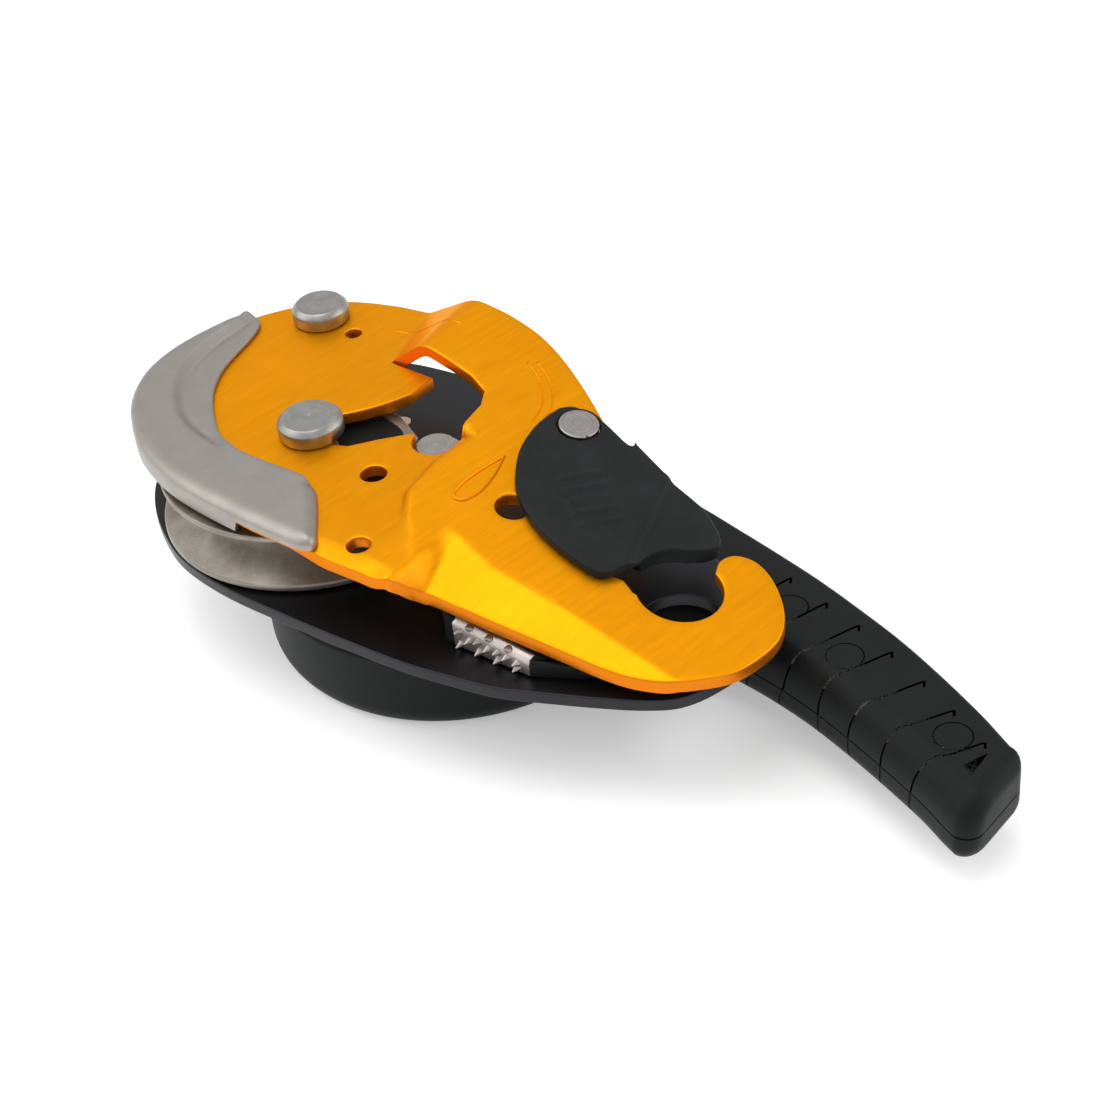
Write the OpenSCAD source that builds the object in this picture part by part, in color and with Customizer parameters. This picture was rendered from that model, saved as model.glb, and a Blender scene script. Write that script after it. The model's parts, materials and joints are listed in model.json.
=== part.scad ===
// Self-braking belay device and descender, lying on its handle hub.
// Lengths are in millimetres. +Z points out of the front face of the fixed side plate.
// The origin is the centre of the attachment hole on that face. Outlines are laid out from
// the cam axle, and the module from_axle() moves them into the part's frame.

/* [Side plates] */
// Thickness of both side plates
plate_t = 3; // [2.5:0.1:3.2]
// Clear gap between the fixed side plate and the flat head of the moving one
rope_gap = 16.5; // [16:0.1:17]
// Height of the raised front of the moving plate above the fixed plate, at the cam axle
hook_rise = 29.3; // [29:0.1:30]
// Slope of the raised part towards the attachment hole, in degrees
hook_slope = 11.86; // [11.5:0.02:12]
// Radius of the attachment hole
eye_r = 8.9; // [8.5:0.1:9]

/* [Studs and axle] */
// Head radius of the pivot stud
pivot_head_r = 6.9; // [6:0.1:7.2]
// Head radius of the cam axle
cam_head_r = 7.6; // [6.5:0.1:7.8]
// Neck radius of both studs
neck_r = 4; // [3.5:0.1:4.2]
// Thickness of a stud head
head_t = 4.3; // [3:0.1:5]
// Radius of the hub axle
axle_r = 5; // [4.5:0.1:5.2]
// Radial clearance of a running fit
running = 0.05; // [0.02:0.01:0.08]

/* [Cam] */
// Outer radius of the cam flanges
cam_r = 35.6; // [34:0.1:36]
// Depth of the rope groove in the cam
groove_depth = 10; // [6:0.5:12]
// Height of the cam
cam_t = 14.3; // [13:0.1:14.4]

/* [Handle] */
// Outer radius of the handle hub
hub_r = 44; // [42:0.5:45]
// Depth of the hub's underside below the fixed plate's front face
hub_depth = 28; // [27:0.5:30]
// Edge radius of the hub's underside
hub_edge = 4; // [2:0.5:5]
// Depth of the grip's top face
grip_top = 5.5; // [5:0.1:6]
// Depth of the parting line between the two grip shells
grip_split = 14; // [13:0.5:15]
// Depth of the grip's underside
grip_bottom = 21; // [20.5:0.5:22]
// Wall of the grip shells
shell_wall = 3; // [2.5:0.1:3.5]

/* [Hidden] */

// Places, seen from the front and measured from the cam axle
eye = [95.5, 9.3];
hook_eye = [95.9, 9.3];
pivot = [-32, 37];
hub = [26.5, 12.5];
cam_centre = [-2.2, 0];
gate_pin = [51.4, 32.6];
catch_at = [93, -9.5];
stop_at = [-6, 34];
block_rivets_at = [[52, 4], [50, -8]];
guard_rivets_at = [[-47.5, 8], [-31, -19.5], [2, -26]];
screws_at = [[88, 34], [121, 27], [158, 14]];

head_top = rope_gap + plate_t;
slope = tan(hook_slope);
slab = plate_t / cos(hook_slope);
guard_rivet_r = 1.5;
fine = 96;
far = 400;

// Height of the raised part's upper face at x
function hook_top(x) = hook_rise - slope * x;

// A point of a Catmull-Rom curve between b and c
function curve_point(a, b, c, d, t) =
    0.5 * (2 * b + (c - a) * t + (2 * a - 5 * b + 4 * c - d) * t * t
           + (3 * b - a - 3 * c + d) * t * t * t);

// A closed smooth outline through the given points
function smooth(p, steps = 6) =
    let (n = len(p))
    [for (i = [0:n - 1], k = [0:steps - 1])
        curve_point(p[(i + n - 1) % n], p[i], p[(i + 1) % n], p[(i + 2) % n], k / steps)];

// A smooth curve through the given points, open at both ends
function curve(p, steps = 6) =
    let (n = len(p))
    concat([for (i = [0:n - 2], k = [0:steps - 1])
                curve_point(p[max(i - 1, 0)], p[i], p[i + 1], p[min(i + 2, n - 1)], k / steps)],
           [p[n - 1]]);

// Points of an arc
function arc(centre, r, from, to, steps) =
    [for (i = [0:steps]) let (a = from + (to - from) * i / steps) centre + r * [cos(a), sin(a)]];

module from_axle() {
    translate([-eye[0], -eye[1], 0]) children();
}

module at(place, z = 0) {
    translate([place[0], place[1], z]) children();
}

module rod(r, h) {
    cylinder(r = r, h = h, $fn = fine);
}

module tube(outer, inner, h) {
    difference() {
        rod(outer, h);
        translate([0, 0, -1]) rod(inner, h + 2);
    }
}

// A round body with a turned edge radius on its upper rim
module button(r, h, edge) {
    rotate_extrude($fn = fine) {
        square([r - edge, h]);
        square([r, h - edge]);
        intersection() {
            translate([r - edge, h - edge]) circle(r = edge, $fn = 48);
            square([r, h]);
        }
    }
}

// A coil spring drawn as the tube that its turns fill
module spring_tube(outer, wire, h) {
    tube(outer, outer - wire, h);
}

// ---- fixed side --------------------------------------------------------------------------

fixed_outline = smooth([
    [-46.5, 4], [-45.5, -6], [-41, -15.5], [-33, -23.5], [-23, -29.8], [-12, -34.2], [3, -36],
    [20, -35.6], [38, -34.6], [54, -33.2], [66, -31], [76, -28.6], [86, -24.2], [96, -19.4],
    [104, -15], [110, -10], [113.5, -2], [114.6, 8], [111, 19], [102, 27.5], [89, 31], [72, 36],
    [56, 46], [38, 54.5], [18, 58.5], [-4, 57.5], [-22, 54.5], [-36, 48], [-43, 39], [-46.5, 28],
    [-47, 15]]);

module fixed_side_plate() {
    color([0.09, 0.095, 0.1]) from_axle() difference() {
        translate([0, 0, -plate_t]) linear_extrude(plate_t) polygon(fixed_outline);
        for (hole = [[pivot, neck_r], [[0, 0], neck_r], [hub, axle_r], [catch_at, 2],
                     [stop_at, 2], [eye, eye_r],
                     [block_rivets_at[0], 2], [block_rivets_at[1], 2]])
            at(hole[0], -plate_t - 1) rod(hole[1], plate_t + 2);
    }
}

module pivot_stud() {
    color([0.76, 0.75, 0.74]) from_axle() at(pivot) {
        translate([0, 0, head_top + 0.2]) button(pivot_head_r, head_t, 1);
        translate([0, 0, -plate_t - 0.4]) rod(neck_r, head_top + plate_t + 1);
        translate([0, 0, -plate_t - 2]) rod(6.2, 2);
    }
}

module pivot_spacer() {
    color([0.62, 0.61, 0.6]) from_axle() at(pivot) tube(6.5, neck_r, rope_gap - 0.15);
}

module cam_axle() {
    color([0.76, 0.75, 0.74]) from_axle() {
        translate([0, 0, head_top + 0.3]) button(cam_head_r, head_t, 1);
        translate([0, 0, -plate_t]) rod(neck_r, head_top + plate_t + 1);
    }
}

module hub_axle() {
    color([0.8, 0.79, 0.78]) from_axle() at(hub) {
        translate([0, 0, rope_gap]) button(4.5, 1.8, 0.3);
        translate([0, 0, 0.05]) rod(3.5, rope_gap + 0.5);
        translate([0, 0, 2 - hub_depth]) rod(axle_r, hub_depth - 1.9);
    }
}

module axle_sleeve() {
    color([0.5, 0.5, 0.5]) from_axle() at(hub, 0) difference() {
        rod(6, rope_gap - 0.05);
        translate([0, 0, -1]) rod(axle_r, 1.1);
        translate([0, 0, -1]) rod(3.5, rope_gap + 2);
    }
}

module axle_nut() {
    color([0.62, 0.61, 0.6]) from_axle() at(hub, 0.5 - hub_depth) difference() {
        cylinder(r = 8.2, h = 2, $fn = 6);
        translate([0, 0, -1]) rod(axle_r - 0.6, 4);
        translate([0, 0, 1.5]) rod(axle_r, 4);
    }
}

module thrust_washer() {
    color([0.8, 0.78, 0.7]) from_axle() at(hub, -plate_t - 0.8) tube(13, axle_r + 0.1, 0.8);
}

// Wear block that the rope is squeezed against
module friction_block() {
    color([0.55, 0.54, 0.52]) from_axle() difference() {
        linear_extrude(10.3)
            polygon(concat(arc([50, -2], 8, 110, 250, 8), [[58, -13], [60, -8], [60, 4], [56, 8]]));
        for (place = block_rivets_at) at(place, -1) rod(2, 13);
    }
}

module block_rivets() {
    color([0.7, 0.69, 0.68]) from_axle() for (place = block_rivets_at)
        at(place, -plate_t) rod(2, plate_t + 10.3);
}

module catch_pin() {
    color([0.7, 0.69, 0.68]) from_axle() at(catch_at, -plate_t) {
        rod(2, plate_t + 2.6);
    }
}

module stop_pin() {
    color([0.7, 0.69, 0.68]) from_axle() at(stop_at, -7) rod(2, 7);
}

// ---- moving side plate -------------------------------------------------------------------

guard_outer = smooth([
    [-47.4, 30.4], [-51, 22], [-52.8, 10], [-52.3, 0], [-49.4, -8], [-44.3, -15.3], [-37.2, -21.4],
    [-28, -27.2], [-16, -31.3], [-4, -33], [9, -33.2], [29, -32.2], [26.5, -28], [20, -22],
    [13, -16.8], [8, -14.3], [1, -14], [-9, -15], [-19, -12.7], [-28, -7], [-34, 1], [-38.5, 11],
    [-41, 19], [-43.3, 26.5]]);

guard_band = smooth([
    [-48.2, 27], [-51.4, 20], [-52.3, 10], [-51.7, 0], [-48.7, -8.2], [-43.6, -15.2], [-36.6, -21.2],
    [-27.5, -26.6], [-16, -30.6], [-4, -32.3], [9, -32.5], [24, -31.8], [18, -24], [11, -19],
    [0, -17.5], [-10, -18.2], [-20, -16], [-30, -10], [-37, -4.5], [-42.5, 3], [-45, 12],
    [-46, 20]]);

head_rim = curve([
    [-10.8, 52.6], [-20, 50.8], [-31, 46.6], [-39.4, 40], [-45.8, 31], [-49.4, 22], [-51.1, 10],
    [-50.6, 0], [-47.7, -7.6], [-42.6, -14.6], [-36.3, -20.2], [-28, -25.8], [-16, -30],
    [-4, -31.6], [10, -31.9], [30, -31.2], [47.5, -30.2]]);
head_outline = concat(head_rim, [[47.5, -9], [36.5, -9], [34.5, 3], [32.6, 14], [9.3, 31.3],
                                 [-3.5, 31.7]]);

raised_outline = concat(
    [[5.5, 31.7], [32.6, 14], [33.5, 3], [36, -9], [46.7, -9], [50, -10], [63.5, -12.3],
     [82, -12.5], [100, -12.2], [109.5, -11.8]],
    curve([[113.5, -8.5], [117.8, -1.5], [119.4, 8], [118.3, 14.5], [114.5, 20.2],
            [108.5, 25], [103, 26.8], [98.8, 25.3], [97.4, 21.8], [98.5, 18.8]]),
    [[100, 16], [98, 9.3], [94, 3], [89.5, 1.7], [86, 3.3], [79, 1.2], [71, 1.2], [69, 8],
     [71, 20], [71, 27], [68.5, 32]],
    [[60, 36.3], [53.6, 39.5], [48, 42.8], [41, 46.7], [32.3, 50.8], [24, 53.4], [15, 54.2],
     [8, 53.6], [2, 52.8]]);

bevel_fall = 20;
bevel_outline = [
    [47, -29.5], [49.5, -27.4], [52.3, -25.8], [55, -24.4], [60.5, -23.6], [67.7, -22.6],
    [77.4, -21.4], [83, -20.1], [95, -17.9], [102.6, -16.1], [109.3, -12.9], [110.5, -11.5],
    [109.5, -11], [82, -12], [63.5, -11.8], [50, -9.5], [47, -9.5]];

window = concat(
    arc(pivot, 43.4, -49, -18, 8),
    [[9.3, 31.3], [9.3, 31.7], [15, 31.8], [22, 31.2], [27.4, 29.2], [29.8, 25], [31.2, 16],
     [31.9, 12]],
    arc(hub, 5.4, -10, -170, 8),
    [[20.2, 12], [15, 6], [10.8, 0.4]],
    arc([0, 0], 5.2, -20, -220, 8));

// A slab of plate thickness that falls towards +X
module falling_slab(x, z, angle, length) {
    translate([x, -far / 2, z]) rotate([0, angle, 0])
        translate([0, 0, -plate_t]) cube([length, far, plate_t]);
}

module prism(points) {
    linear_extrude(far) polygon(points);
}

module moving_side_plate() {
    color([0.95, 0.64, 0.12]) from_axle() difference() {
        union() {
            translate([0, 0, rope_gap]) linear_extrude(plate_t)
                polygon(head_outline);
            ramp();
            crease_wall();
            intersection() {
                falling_slab(-20, hook_top(-20), hook_slope, 160);
                prism(raised_outline);
            }
            bevel();
        }
        translate([0, 0, -1]) linear_extrude(far) polygon(window);
        at(hook_eye, -1) rod(eye_r + 0.35, 30);
        at(pivot, -1) rod(5.4, 30);
        at([23.1, -4.4], -1) rod(3, 30);
        at([37.8, -25.2], -1) rod(2.65, 30);
        at([55.5, 4.4], -1) rod(3.8, 30);
        at([-20.5, 36], -1) rod(2, 30);
        for (place = guard_rivets_at) at(place, -1) rod(guard_rivet_r, 30);
        gate_frame() translate([0, 0, -6]) rod(2.5, 12);
        disc_relief();
    }
}

// Ramp from the flat head up to the raised part
module ramp() {
    foot_turn = -18.6;
    intersection() {
        translate([-3.5, 31.7, head_top]) rotate([0, 0, -foot_turn]) rotate([0, -45.6, 0])
            translate([-4, -10, -plate_t]) cube([18, 60, plate_t]);
        prism([[-14, 31.7], [7.8, 31.7], [7.8, 53.6], [2, 52.8], [-10.8, 52.6], [-14, 52]]);
        translate([-30, 0, rope_gap]) cube([60, 70, hook_rise - rope_gap - 0.6]);
    }
}

// Short wall where the flat head steps up to the raised part, beside the axle head
module crease_wall() {
    intersection() {
        translate([0, 0, rope_gap]) linear_extrude(12)
            polygon([[31.6, 14], [32.8, 3], [35.6, -9], [39.5, -9], [37, 3], [35.4, 14]]);
        translate([0, 0, -9]) falling_slab_thick();
    }
}

module falling_slab_thick() {
    translate([-20, -far / 2, hook_top(-20)]) rotate([0, hook_slope, 0])
        translate([0, 0, -plate_t]) cube([160, far, plate_t + 9 * cos(hook_slope)]);
}

// Down-turned edge along the rope's way out, and the facet that joins it to the flat head
module bevel() {
    intersection() {
        bevel_block(46, 72, plate_t);
        prism(bevel_outline);
    }
    intersection() {
        falling_slab(46.6, head_top, 45, 14);
        bevel_block(40, 30, 12);
        prism([[46.6, -11], [46.6, -30.1], [49.5, -27.4], [52.3, -25.8], [56, -24.3], [56, -20],
               [50.5, -10.5]]);
    }
}

// Block that stands on the underside of the down-turned edge
module bevel_block(x, length, height) {
    translate([x, -11, hook_top(x)]) rotate([0, hook_slope, 0]) rotate([bevel_fall, 0, 0])
        translate([0, -22, -plate_t]) cube([length, 23.5, height]);
}

// Room for the hub axle's head while the plate swings over it
module disc_relief() {
    at(pivot, rope_gap - 1) rotate([0, 0, -26]) rotate_extrude(angle = 50, $fn = fine)
        translate([58.2, 0]) square([10.2, 3.3]);
}

module pivot_bush() {
    color([0.7, 0.6, 0.35]) from_axle() at(pivot, rope_gap) tube(5.4, neck_r + running, plate_t);
}

// Formed sheet that takes the wear of the rope round the head
module wear_guard() {
    color([0.74, 0.73, 0.71]) from_axle() difference() {
        union() {
            translate([0, 0, head_top]) linear_extrude(1.2) polygon(guard_outer);
            translate([0, 0, head_top]) linear_extrude(2.6) polygon(guard_band);
            translate([0, 0, rope_gap - 0.5]) linear_extrude(plate_t + 1) difference() {
                polygon(guard_outer);
                polygon(head_outline);
                translate([8, -60]) square([60, 100]);
                translate([-60, 26]) square([60, 30]);
            }
        }
        for (place = guard_rivets_at) at(place, head_top - 1) rod(guard_rivet_r, 1.8);
    }
}

// Blind rivets, set from inside, that hold the guard
module guard_rivets() {
    color([0.7, 0.69, 0.68]) from_axle() for (place = guard_rivets_at)
        at(place, rope_gap) rod(guard_rivet_r, plate_t + 0.8);
}

// ---- gate --------------------------------------------------------------------------------

// Frame on the raised part's upper face at the gate pin, with +Z out of that face
module gate_frame() {
    translate([gate_pin[0], gate_pin[1], hook_top(gate_pin[0])]) rotate([0, hook_slope, 0]) children();
}

gate_outline = [
    [-7.3, -1.5], [-7, -7.6], [-4.3, -16], [2.5, -25], [11.5, -30.4], [20.5, -32.7], [29, -33.4],
    [32.5, -32], [34, -27.6], [37.7, -18.2], [44.1, -10.4], [44, -6.5], [37, -2], [33, -0.8],
    [22.8, 1.1], [12.8, 4.2], [11.8, 2.7], [2.4, 5], [-4.4, 4.4], [-6.9, 1.6]];

module gate_body() {
    color([0.19, 0.2, 0.2]) from_axle() gate_frame() difference() {
        union() {
            translate([0, 0, 0.15]) linear_extrude(2.35) polygon(gate_outline);
            translate([0, 0, -plate_t]) linear_extrude(plate_t + 0.2) intersection() {
                polygon(gate_outline);
                translate([31.5, -23.4]) square([13, 22]);
            }
        }
        translate([0, 0, -1]) rod(3.4, 10);
        translate([0, 0, 1.9]) rod(4.8, 2);
        translate([0, 0, -1]) rod(6, 2.4);
        translate([(hook_eye[0] - gate_pin[0]) / cos(hook_slope), hook_eye[1] - gate_pin[1], -9])
            rod(eye_r + 1.3, 20);
    }
}

module gate_bush() {
    color([0.7, 0.6, 0.35]) from_axle() gate_frame()
        translate([0, 0, 0.15]) tube(3.4, 2.5 + running, 1.7);
}

module gate_rivet() {
    color([0.8, 0.79, 0.78]) from_axle() gate_frame() {
        translate([0, 0, 1.95]) button(4.6, 0.95, 0.3);
        translate([0, 0, -plate_t]) rod(2.5, plate_t + 2.2);
        translate([0, 0, -plate_t - 0.8]) rod(3.8, 0.8);
    }
}

// Wire spring that closes the gate, in a pocket round its bush
module gate_spring() {
    color([0.6, 0.6, 0.6]) from_axle() gate_frame() translate([0, 0, 0.25]) spring_tube(5.7, 1.8, 1);
}

// ---- cam ---------------------------------------------------------------------------------

cam_top = 0.6 + cam_t;
cam_keep = [[-42, 14], [-42, -42], [42, -42], [33, -16], [24.5, -6], [20.5, 4], [17.5, 16],
            [8, 20.5], [-8, 20], [-26, 20]];

module cam_sheave() {
    root_r = cam_r - groove_depth;
    color([0.66, 0.63, 0.59]) from_axle() difference() {
        intersection() {
            at(cam_centre, 0.6) rotate_extrude($fn = 180)
                polygon([[0, 0], [cam_r, 0], [cam_r, 1.6], [root_r + 2.6, cam_t / 2 - 2.4],
                         [root_r, cam_t / 2], [root_r + 2.6, cam_t / 2 + 2.4],
                         [cam_r - 1, cam_t - 1.4], [cam_r - 1, cam_t], [0, cam_t]]);
            linear_extrude(30) polygon(cam_keep);
        }
        translate([0, 0, -1]) rod(5.5, 20);
        translate([0, 0, cam_top - 1.2]) linear_extrude(5) polygon(cover_outline);
        translate([0, 0, -1]) tube(13, 9.5, 5);
    }
}

cover_outline = smooth([[-14, -12], [0, -17], [12, -12], [17, -2], [15, 13], [7, 17.5],
                        [-8, 16.5], [-16, 6]]);

module cam_cover() {
    color([0.13, 0.14, 0.14]) from_axle() translate([0, 0, cam_top - 1.2]) difference() {
        linear_extrude(1.2) polygon(cover_outline);
        translate([0, 0, -1]) rod(5.5, 5);
    }
}

module cam_bush() {
    color([0.7, 0.6, 0.35]) from_axle() translate([0, 0, 0.6]) tube(5.5, neck_r + running, cam_t);
}

module cam_spring() {
    color([0.6, 0.6, 0.6]) from_axle() translate([0, 0, 1]) spring_tube(12.4, 2, 2.8);
}

// ---- catch -------------------------------------------------------------------------------

// Height of the catch's top, which follows the fall of the plate above it
function catch_top(x) = 8 - 0.15 * (x - 60);

catch_outline = [[57.5, -22.9], [60, -23], [80.5, -22.2], [90, -17], [96.5, -11], [96.8, -7],
                 [93, -4.9], [89.5, -6.5], [80, -14.5], [70, -17.5], [57.5, -17.6]];
insert_outline = [[60.3, -23.2], [60.3, -21], [80.2, -20.2], [80.2, -22.4]];

module catch_lever() {
    color([0.11, 0.115, 0.12]) from_axle() difference() {
        intersection() {
            translate([0, 0, 0.4]) linear_extrude(9) polygon(catch_outline);
            under_catch_top();
        }
        translate([0, 0, -1]) linear_extrude(20) polygon(insert_outline);
        at(catch_at, -1) rod(2 + running, 10);
        at(catch_at, 1.8) rod(3.4, 10);
    }
}

module under_catch_top() {
    translate([50, -60, 0]) rotate([90, 0, 0]) translate([0, 0, -60]) linear_extrude(60)
        polygon([[0, -1], [60, -1], [60, catch_top(110)], [0, catch_top(50)]]);
}

module toothed_insert() {
    rows = 3;
    columns = 6;
    color([0.5, 0.49, 0.48]) from_axle() {
        intersection() {
            translate([0, 0, 0.6]) linear_extrude(9) polygon(insert_outline);
            translate([0, 0, -0.4]) under_catch_top();
        }
        for (row = [0:rows - 1], column = [0:columns - 1]) {
            x = 61.9 + 3.15 * column + (row % 2) * 1.4;
            z = 1.5 + row * 1.9;
            if (z < catch_top(x) - 1.4)
                translate([x, -23 + 0.04 * (x - 60), z]) rotate([90, 0, 0])
                    cylinder(r1 = 0.9, r2 = 0.15, h = 2, $fn = 24);
        }
    }
}

module catch_spring() {
    color([0.6, 0.6, 0.6]) from_axle() at(catch_at, 1.9) spring_tube(3.2, 0.8, 0.9);
}

// ---- handle ------------------------------------------------------------------------------

grip_outline = smooth([
    [36, 54.5], [54, 53], [70, 51.2], [83.3, 48.6], [96, 46], [108.4, 43.1], [120.8, 39.6],
    [133.4, 35.5], [146.1, 30.5], [158.8, 24.8], [168, 20.3], [172.8, 16], [174, 8], [173.8, 0],
    [171.5, -3.8], [166, -1.2], [158, 2.2], [146.5, 6.4], [134.3, 10.4], [122.3, 13.5],
    [110, 15.9], [98, 17.4], [85, 16.5], [75, 9.5], [68.5, 0], [50, 14]], 3);
grip_hollow = smooth([
    [76, 44.5], [96, 42.4], [108, 39.6], [121, 36], [133, 32], [146, 26.9], [158, 21.4],
    [167, 16.4], [169.6, 13], [170.4, 7], [170, 1], [166, 2.6], [158, 6], [146.5, 10.2],
    [134.3, 14.2], [122.3, 17.3], [110, 19.7], [98, 21.3], [84, 21.2]], 3);
core_line = [[26.5, 12.5], [60, 34], [88, 34], [121, 27], [158, 14]];

core_half = 6;
core_t = 3;
core_z = -15.5;

module grip_block(outline, from, to) {
    translate([0, 0, -from]) linear_extrude(from - to) polygon(outline);
}

module screw_bosses(from, to) {
    for (place = screws_at) at(place, -from) rod(4, from - to);
}

module handle_lower_shell() {
    color([0.13, 0.14, 0.14]) from_axle() difference() {
        union() {
            difference() {
                union() {
                    at(hub, -grip_split) mirror([0, 0, 1])
                        button(hub_r, hub_depth - grip_split, hub_edge);
                    grip_block(grip_outline, grip_bottom, grip_split);
                }
                at(hub, shell_wall - hub_depth) rod(hub_r - shell_wall, 40);
                grip_block(grip_hollow, grip_bottom - shell_wall, -1);
            }
            screw_bosses(grip_bottom, 15.5);
            at(hub, 1 - hub_depth) rod(12, 9);
        }
        at(hub, -60) rod(7, 80);
        at(hub, -hub_depth - 1) rod(9.5, 4);
        core_shape(core_half + 0.2, core_t);
        for (place = screws_at) {
            at(place, -60) rod(1.6, 80);
            at(place, -grip_bottom - 1) rod(3, 3);
        }
    }
}

module handle_upper_shell() {
    color([0.13, 0.14, 0.14]) from_axle() difference() {
        union() {
            difference() {
                union() {
                    at(hub, -grip_split) rod(hub_r, grip_split - 8);
                    grip_block(grip_outline, grip_split, grip_top);
                }
                at(hub, -60) rod(hub_r - shell_wall, 80);
                grip_block(grip_hollow, 60, grip_top + shell_wall);
            }
            screw_bosses(12.5, grip_top);
        }
        at(hub, -8) rod(hub_r + 0.2, 10);
        core_shape(core_half + 0.2, core_t);
        for (place = screws_at) at(place, -60) rod(1.6, 52);
    }
}

module hub_cover() {
    color([0.1, 0.105, 0.11]) from_axle() at(hub, -8) difference() {
        rod(hub_r, 4.1);
        translate([0, 0, -1]) rod(7, 10);
        translate([0, 0, -1]) rotate([0, 0, -9]) rotate_extrude(angle = 161, $fn = 180)
            translate([stop_radius - 2.4, 0]) square([4.8, 10]);
    }
}

stop_radius = norm(stop_at - hub);

module hub_bush() {
    color([0.7, 0.6, 0.35]) from_axle() at(hub, 4 - hub_depth)
        tube(7, axle_r + running, hub_depth - 8);
}

// Steel lever inside the grip
module lever_core() {
    color([0.6, 0.6, 0.6]) from_axle() difference() {
        union() {
            core_shape(core_half, core_t);
            at(hub, core_z) rod(13, core_t);
        }
        at(hub, core_z - 1) rod(7, 5);
        for (place = screws_at) at(place, core_z - 1) rod(1.6, 5);
    }
}

module core_shape(half, thickness) {
    translate([0, 0, core_z]) {
        linear_extrude(thickness) for (i = [0:len(core_line) - 2])
            strip(core_line[i], core_line[i + 1], half);
        for (i = [1:len(core_line) - 1]) at(core_line[i]) rod(half, thickness);
    }
}

module strip(a, b, half) {
    side = half * [a[1] - b[1], b[0] - a[0]] / norm(b - a);
    polygon([a - side, b - side, b + side, a + side]);
}

module hub_spring() {
    color([0.6, 0.6, 0.6]) from_axle() at(hub, 4.5 - hub_depth) spring_tube(20, 3, 7);
}

module grip_screws() {
    color([0.62, 0.61, 0.6]) from_axle() for (place = screws_at) {
        at(place, 0.4 - grip_bottom) rod(2.8, 1.6);
        at(place, 0.4 - grip_bottom) rod(1.6, grip_bottom - 9);
    }
}

fixed_side_plate();
pivot_stud();
pivot_spacer();
cam_axle();
hub_axle();
axle_sleeve();
axle_nut();
thrust_washer();
friction_block();
block_rivets();
catch_pin();
stop_pin();
moving_side_plate();
pivot_bush();
wear_guard();
guard_rivets();
gate_rivet();
gate_body();
gate_bush();
gate_spring();
cam_sheave();
cam_bush();
cam_cover();
cam_spring();
catch_lever();
toothed_insert();
catch_spring();
handle_lower_shell();
handle_upper_shell();
hub_cover();
hub_bush();
lever_core();
hub_spring();
grip_screws();
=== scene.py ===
"""Looks of a self-braking belay device: pieces, finishes, floor, light and camera.

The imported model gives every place. Lengths are metres in the part's own frame: +Z out of the
front face of the fixed side plate, origin at the centre of the attachment hole on that face.
"""
import json
import logging
import math
from dataclasses import dataclass, field
from enum import Enum
from typing import Any, Callable, Iterable, Optional, Sequence, Union

import bmesh
import bpy
import numpy as np
from mathutils import Matrix, Vector
from mathutils.bvhtree import BVHTree
from mathutils.geometry import delaunay_2d_cdt


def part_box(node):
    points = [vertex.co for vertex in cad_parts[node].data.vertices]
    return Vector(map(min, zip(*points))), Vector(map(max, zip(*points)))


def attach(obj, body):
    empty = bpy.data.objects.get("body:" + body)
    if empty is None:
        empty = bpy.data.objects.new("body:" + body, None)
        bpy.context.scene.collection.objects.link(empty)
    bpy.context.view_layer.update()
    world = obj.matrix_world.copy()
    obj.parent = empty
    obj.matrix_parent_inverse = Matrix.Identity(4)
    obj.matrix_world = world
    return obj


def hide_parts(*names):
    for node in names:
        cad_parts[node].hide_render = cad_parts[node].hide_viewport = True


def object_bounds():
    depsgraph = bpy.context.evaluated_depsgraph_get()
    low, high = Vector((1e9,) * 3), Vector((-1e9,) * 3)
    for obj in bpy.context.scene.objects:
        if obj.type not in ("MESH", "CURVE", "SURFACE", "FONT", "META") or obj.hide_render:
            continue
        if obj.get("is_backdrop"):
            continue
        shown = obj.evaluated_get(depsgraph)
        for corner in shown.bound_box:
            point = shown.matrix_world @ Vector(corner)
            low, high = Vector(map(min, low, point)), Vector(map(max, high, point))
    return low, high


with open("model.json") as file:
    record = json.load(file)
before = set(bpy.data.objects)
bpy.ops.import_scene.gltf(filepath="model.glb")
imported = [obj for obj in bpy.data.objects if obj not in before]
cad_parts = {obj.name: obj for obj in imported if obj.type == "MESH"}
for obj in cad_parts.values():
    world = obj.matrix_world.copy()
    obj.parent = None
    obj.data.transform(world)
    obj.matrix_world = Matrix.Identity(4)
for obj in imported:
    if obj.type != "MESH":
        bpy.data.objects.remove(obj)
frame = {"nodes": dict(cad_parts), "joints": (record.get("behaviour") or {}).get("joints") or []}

log = logging.getLogger("belay")
MM = 0.001
PER_METRE = 1000.0  # a texture's scale for grains of one millimetre
WELD = 2e-6  # points closer than this are one point
CREASE = 35.0  # edges sharper than this stay sharp, in degrees
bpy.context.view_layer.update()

Point = tuple[float, float]
Number = Union[int, float, "Val"]
Colour = tuple[float, float, float]
Height = Callable[[np.ndarray, np.ndarray], np.ndarray]
WHITE: Colour = (1.0, 1.0, 1.0)


# ---- shader maths ------------------------------------------------------------------------


def opaque(colour: Any) -> Any:
    """Returns plain red, green and blue with a full alpha; a socket stays as it is."""
    return (*colour, 1.0) if isinstance(colour, tuple) else colour


def scaled(colour: Colour, share: float) -> Colour:
    """Returns a colour times a share, held at 1."""
    return tuple(min(1.0, c * share) for c in colour)


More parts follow.
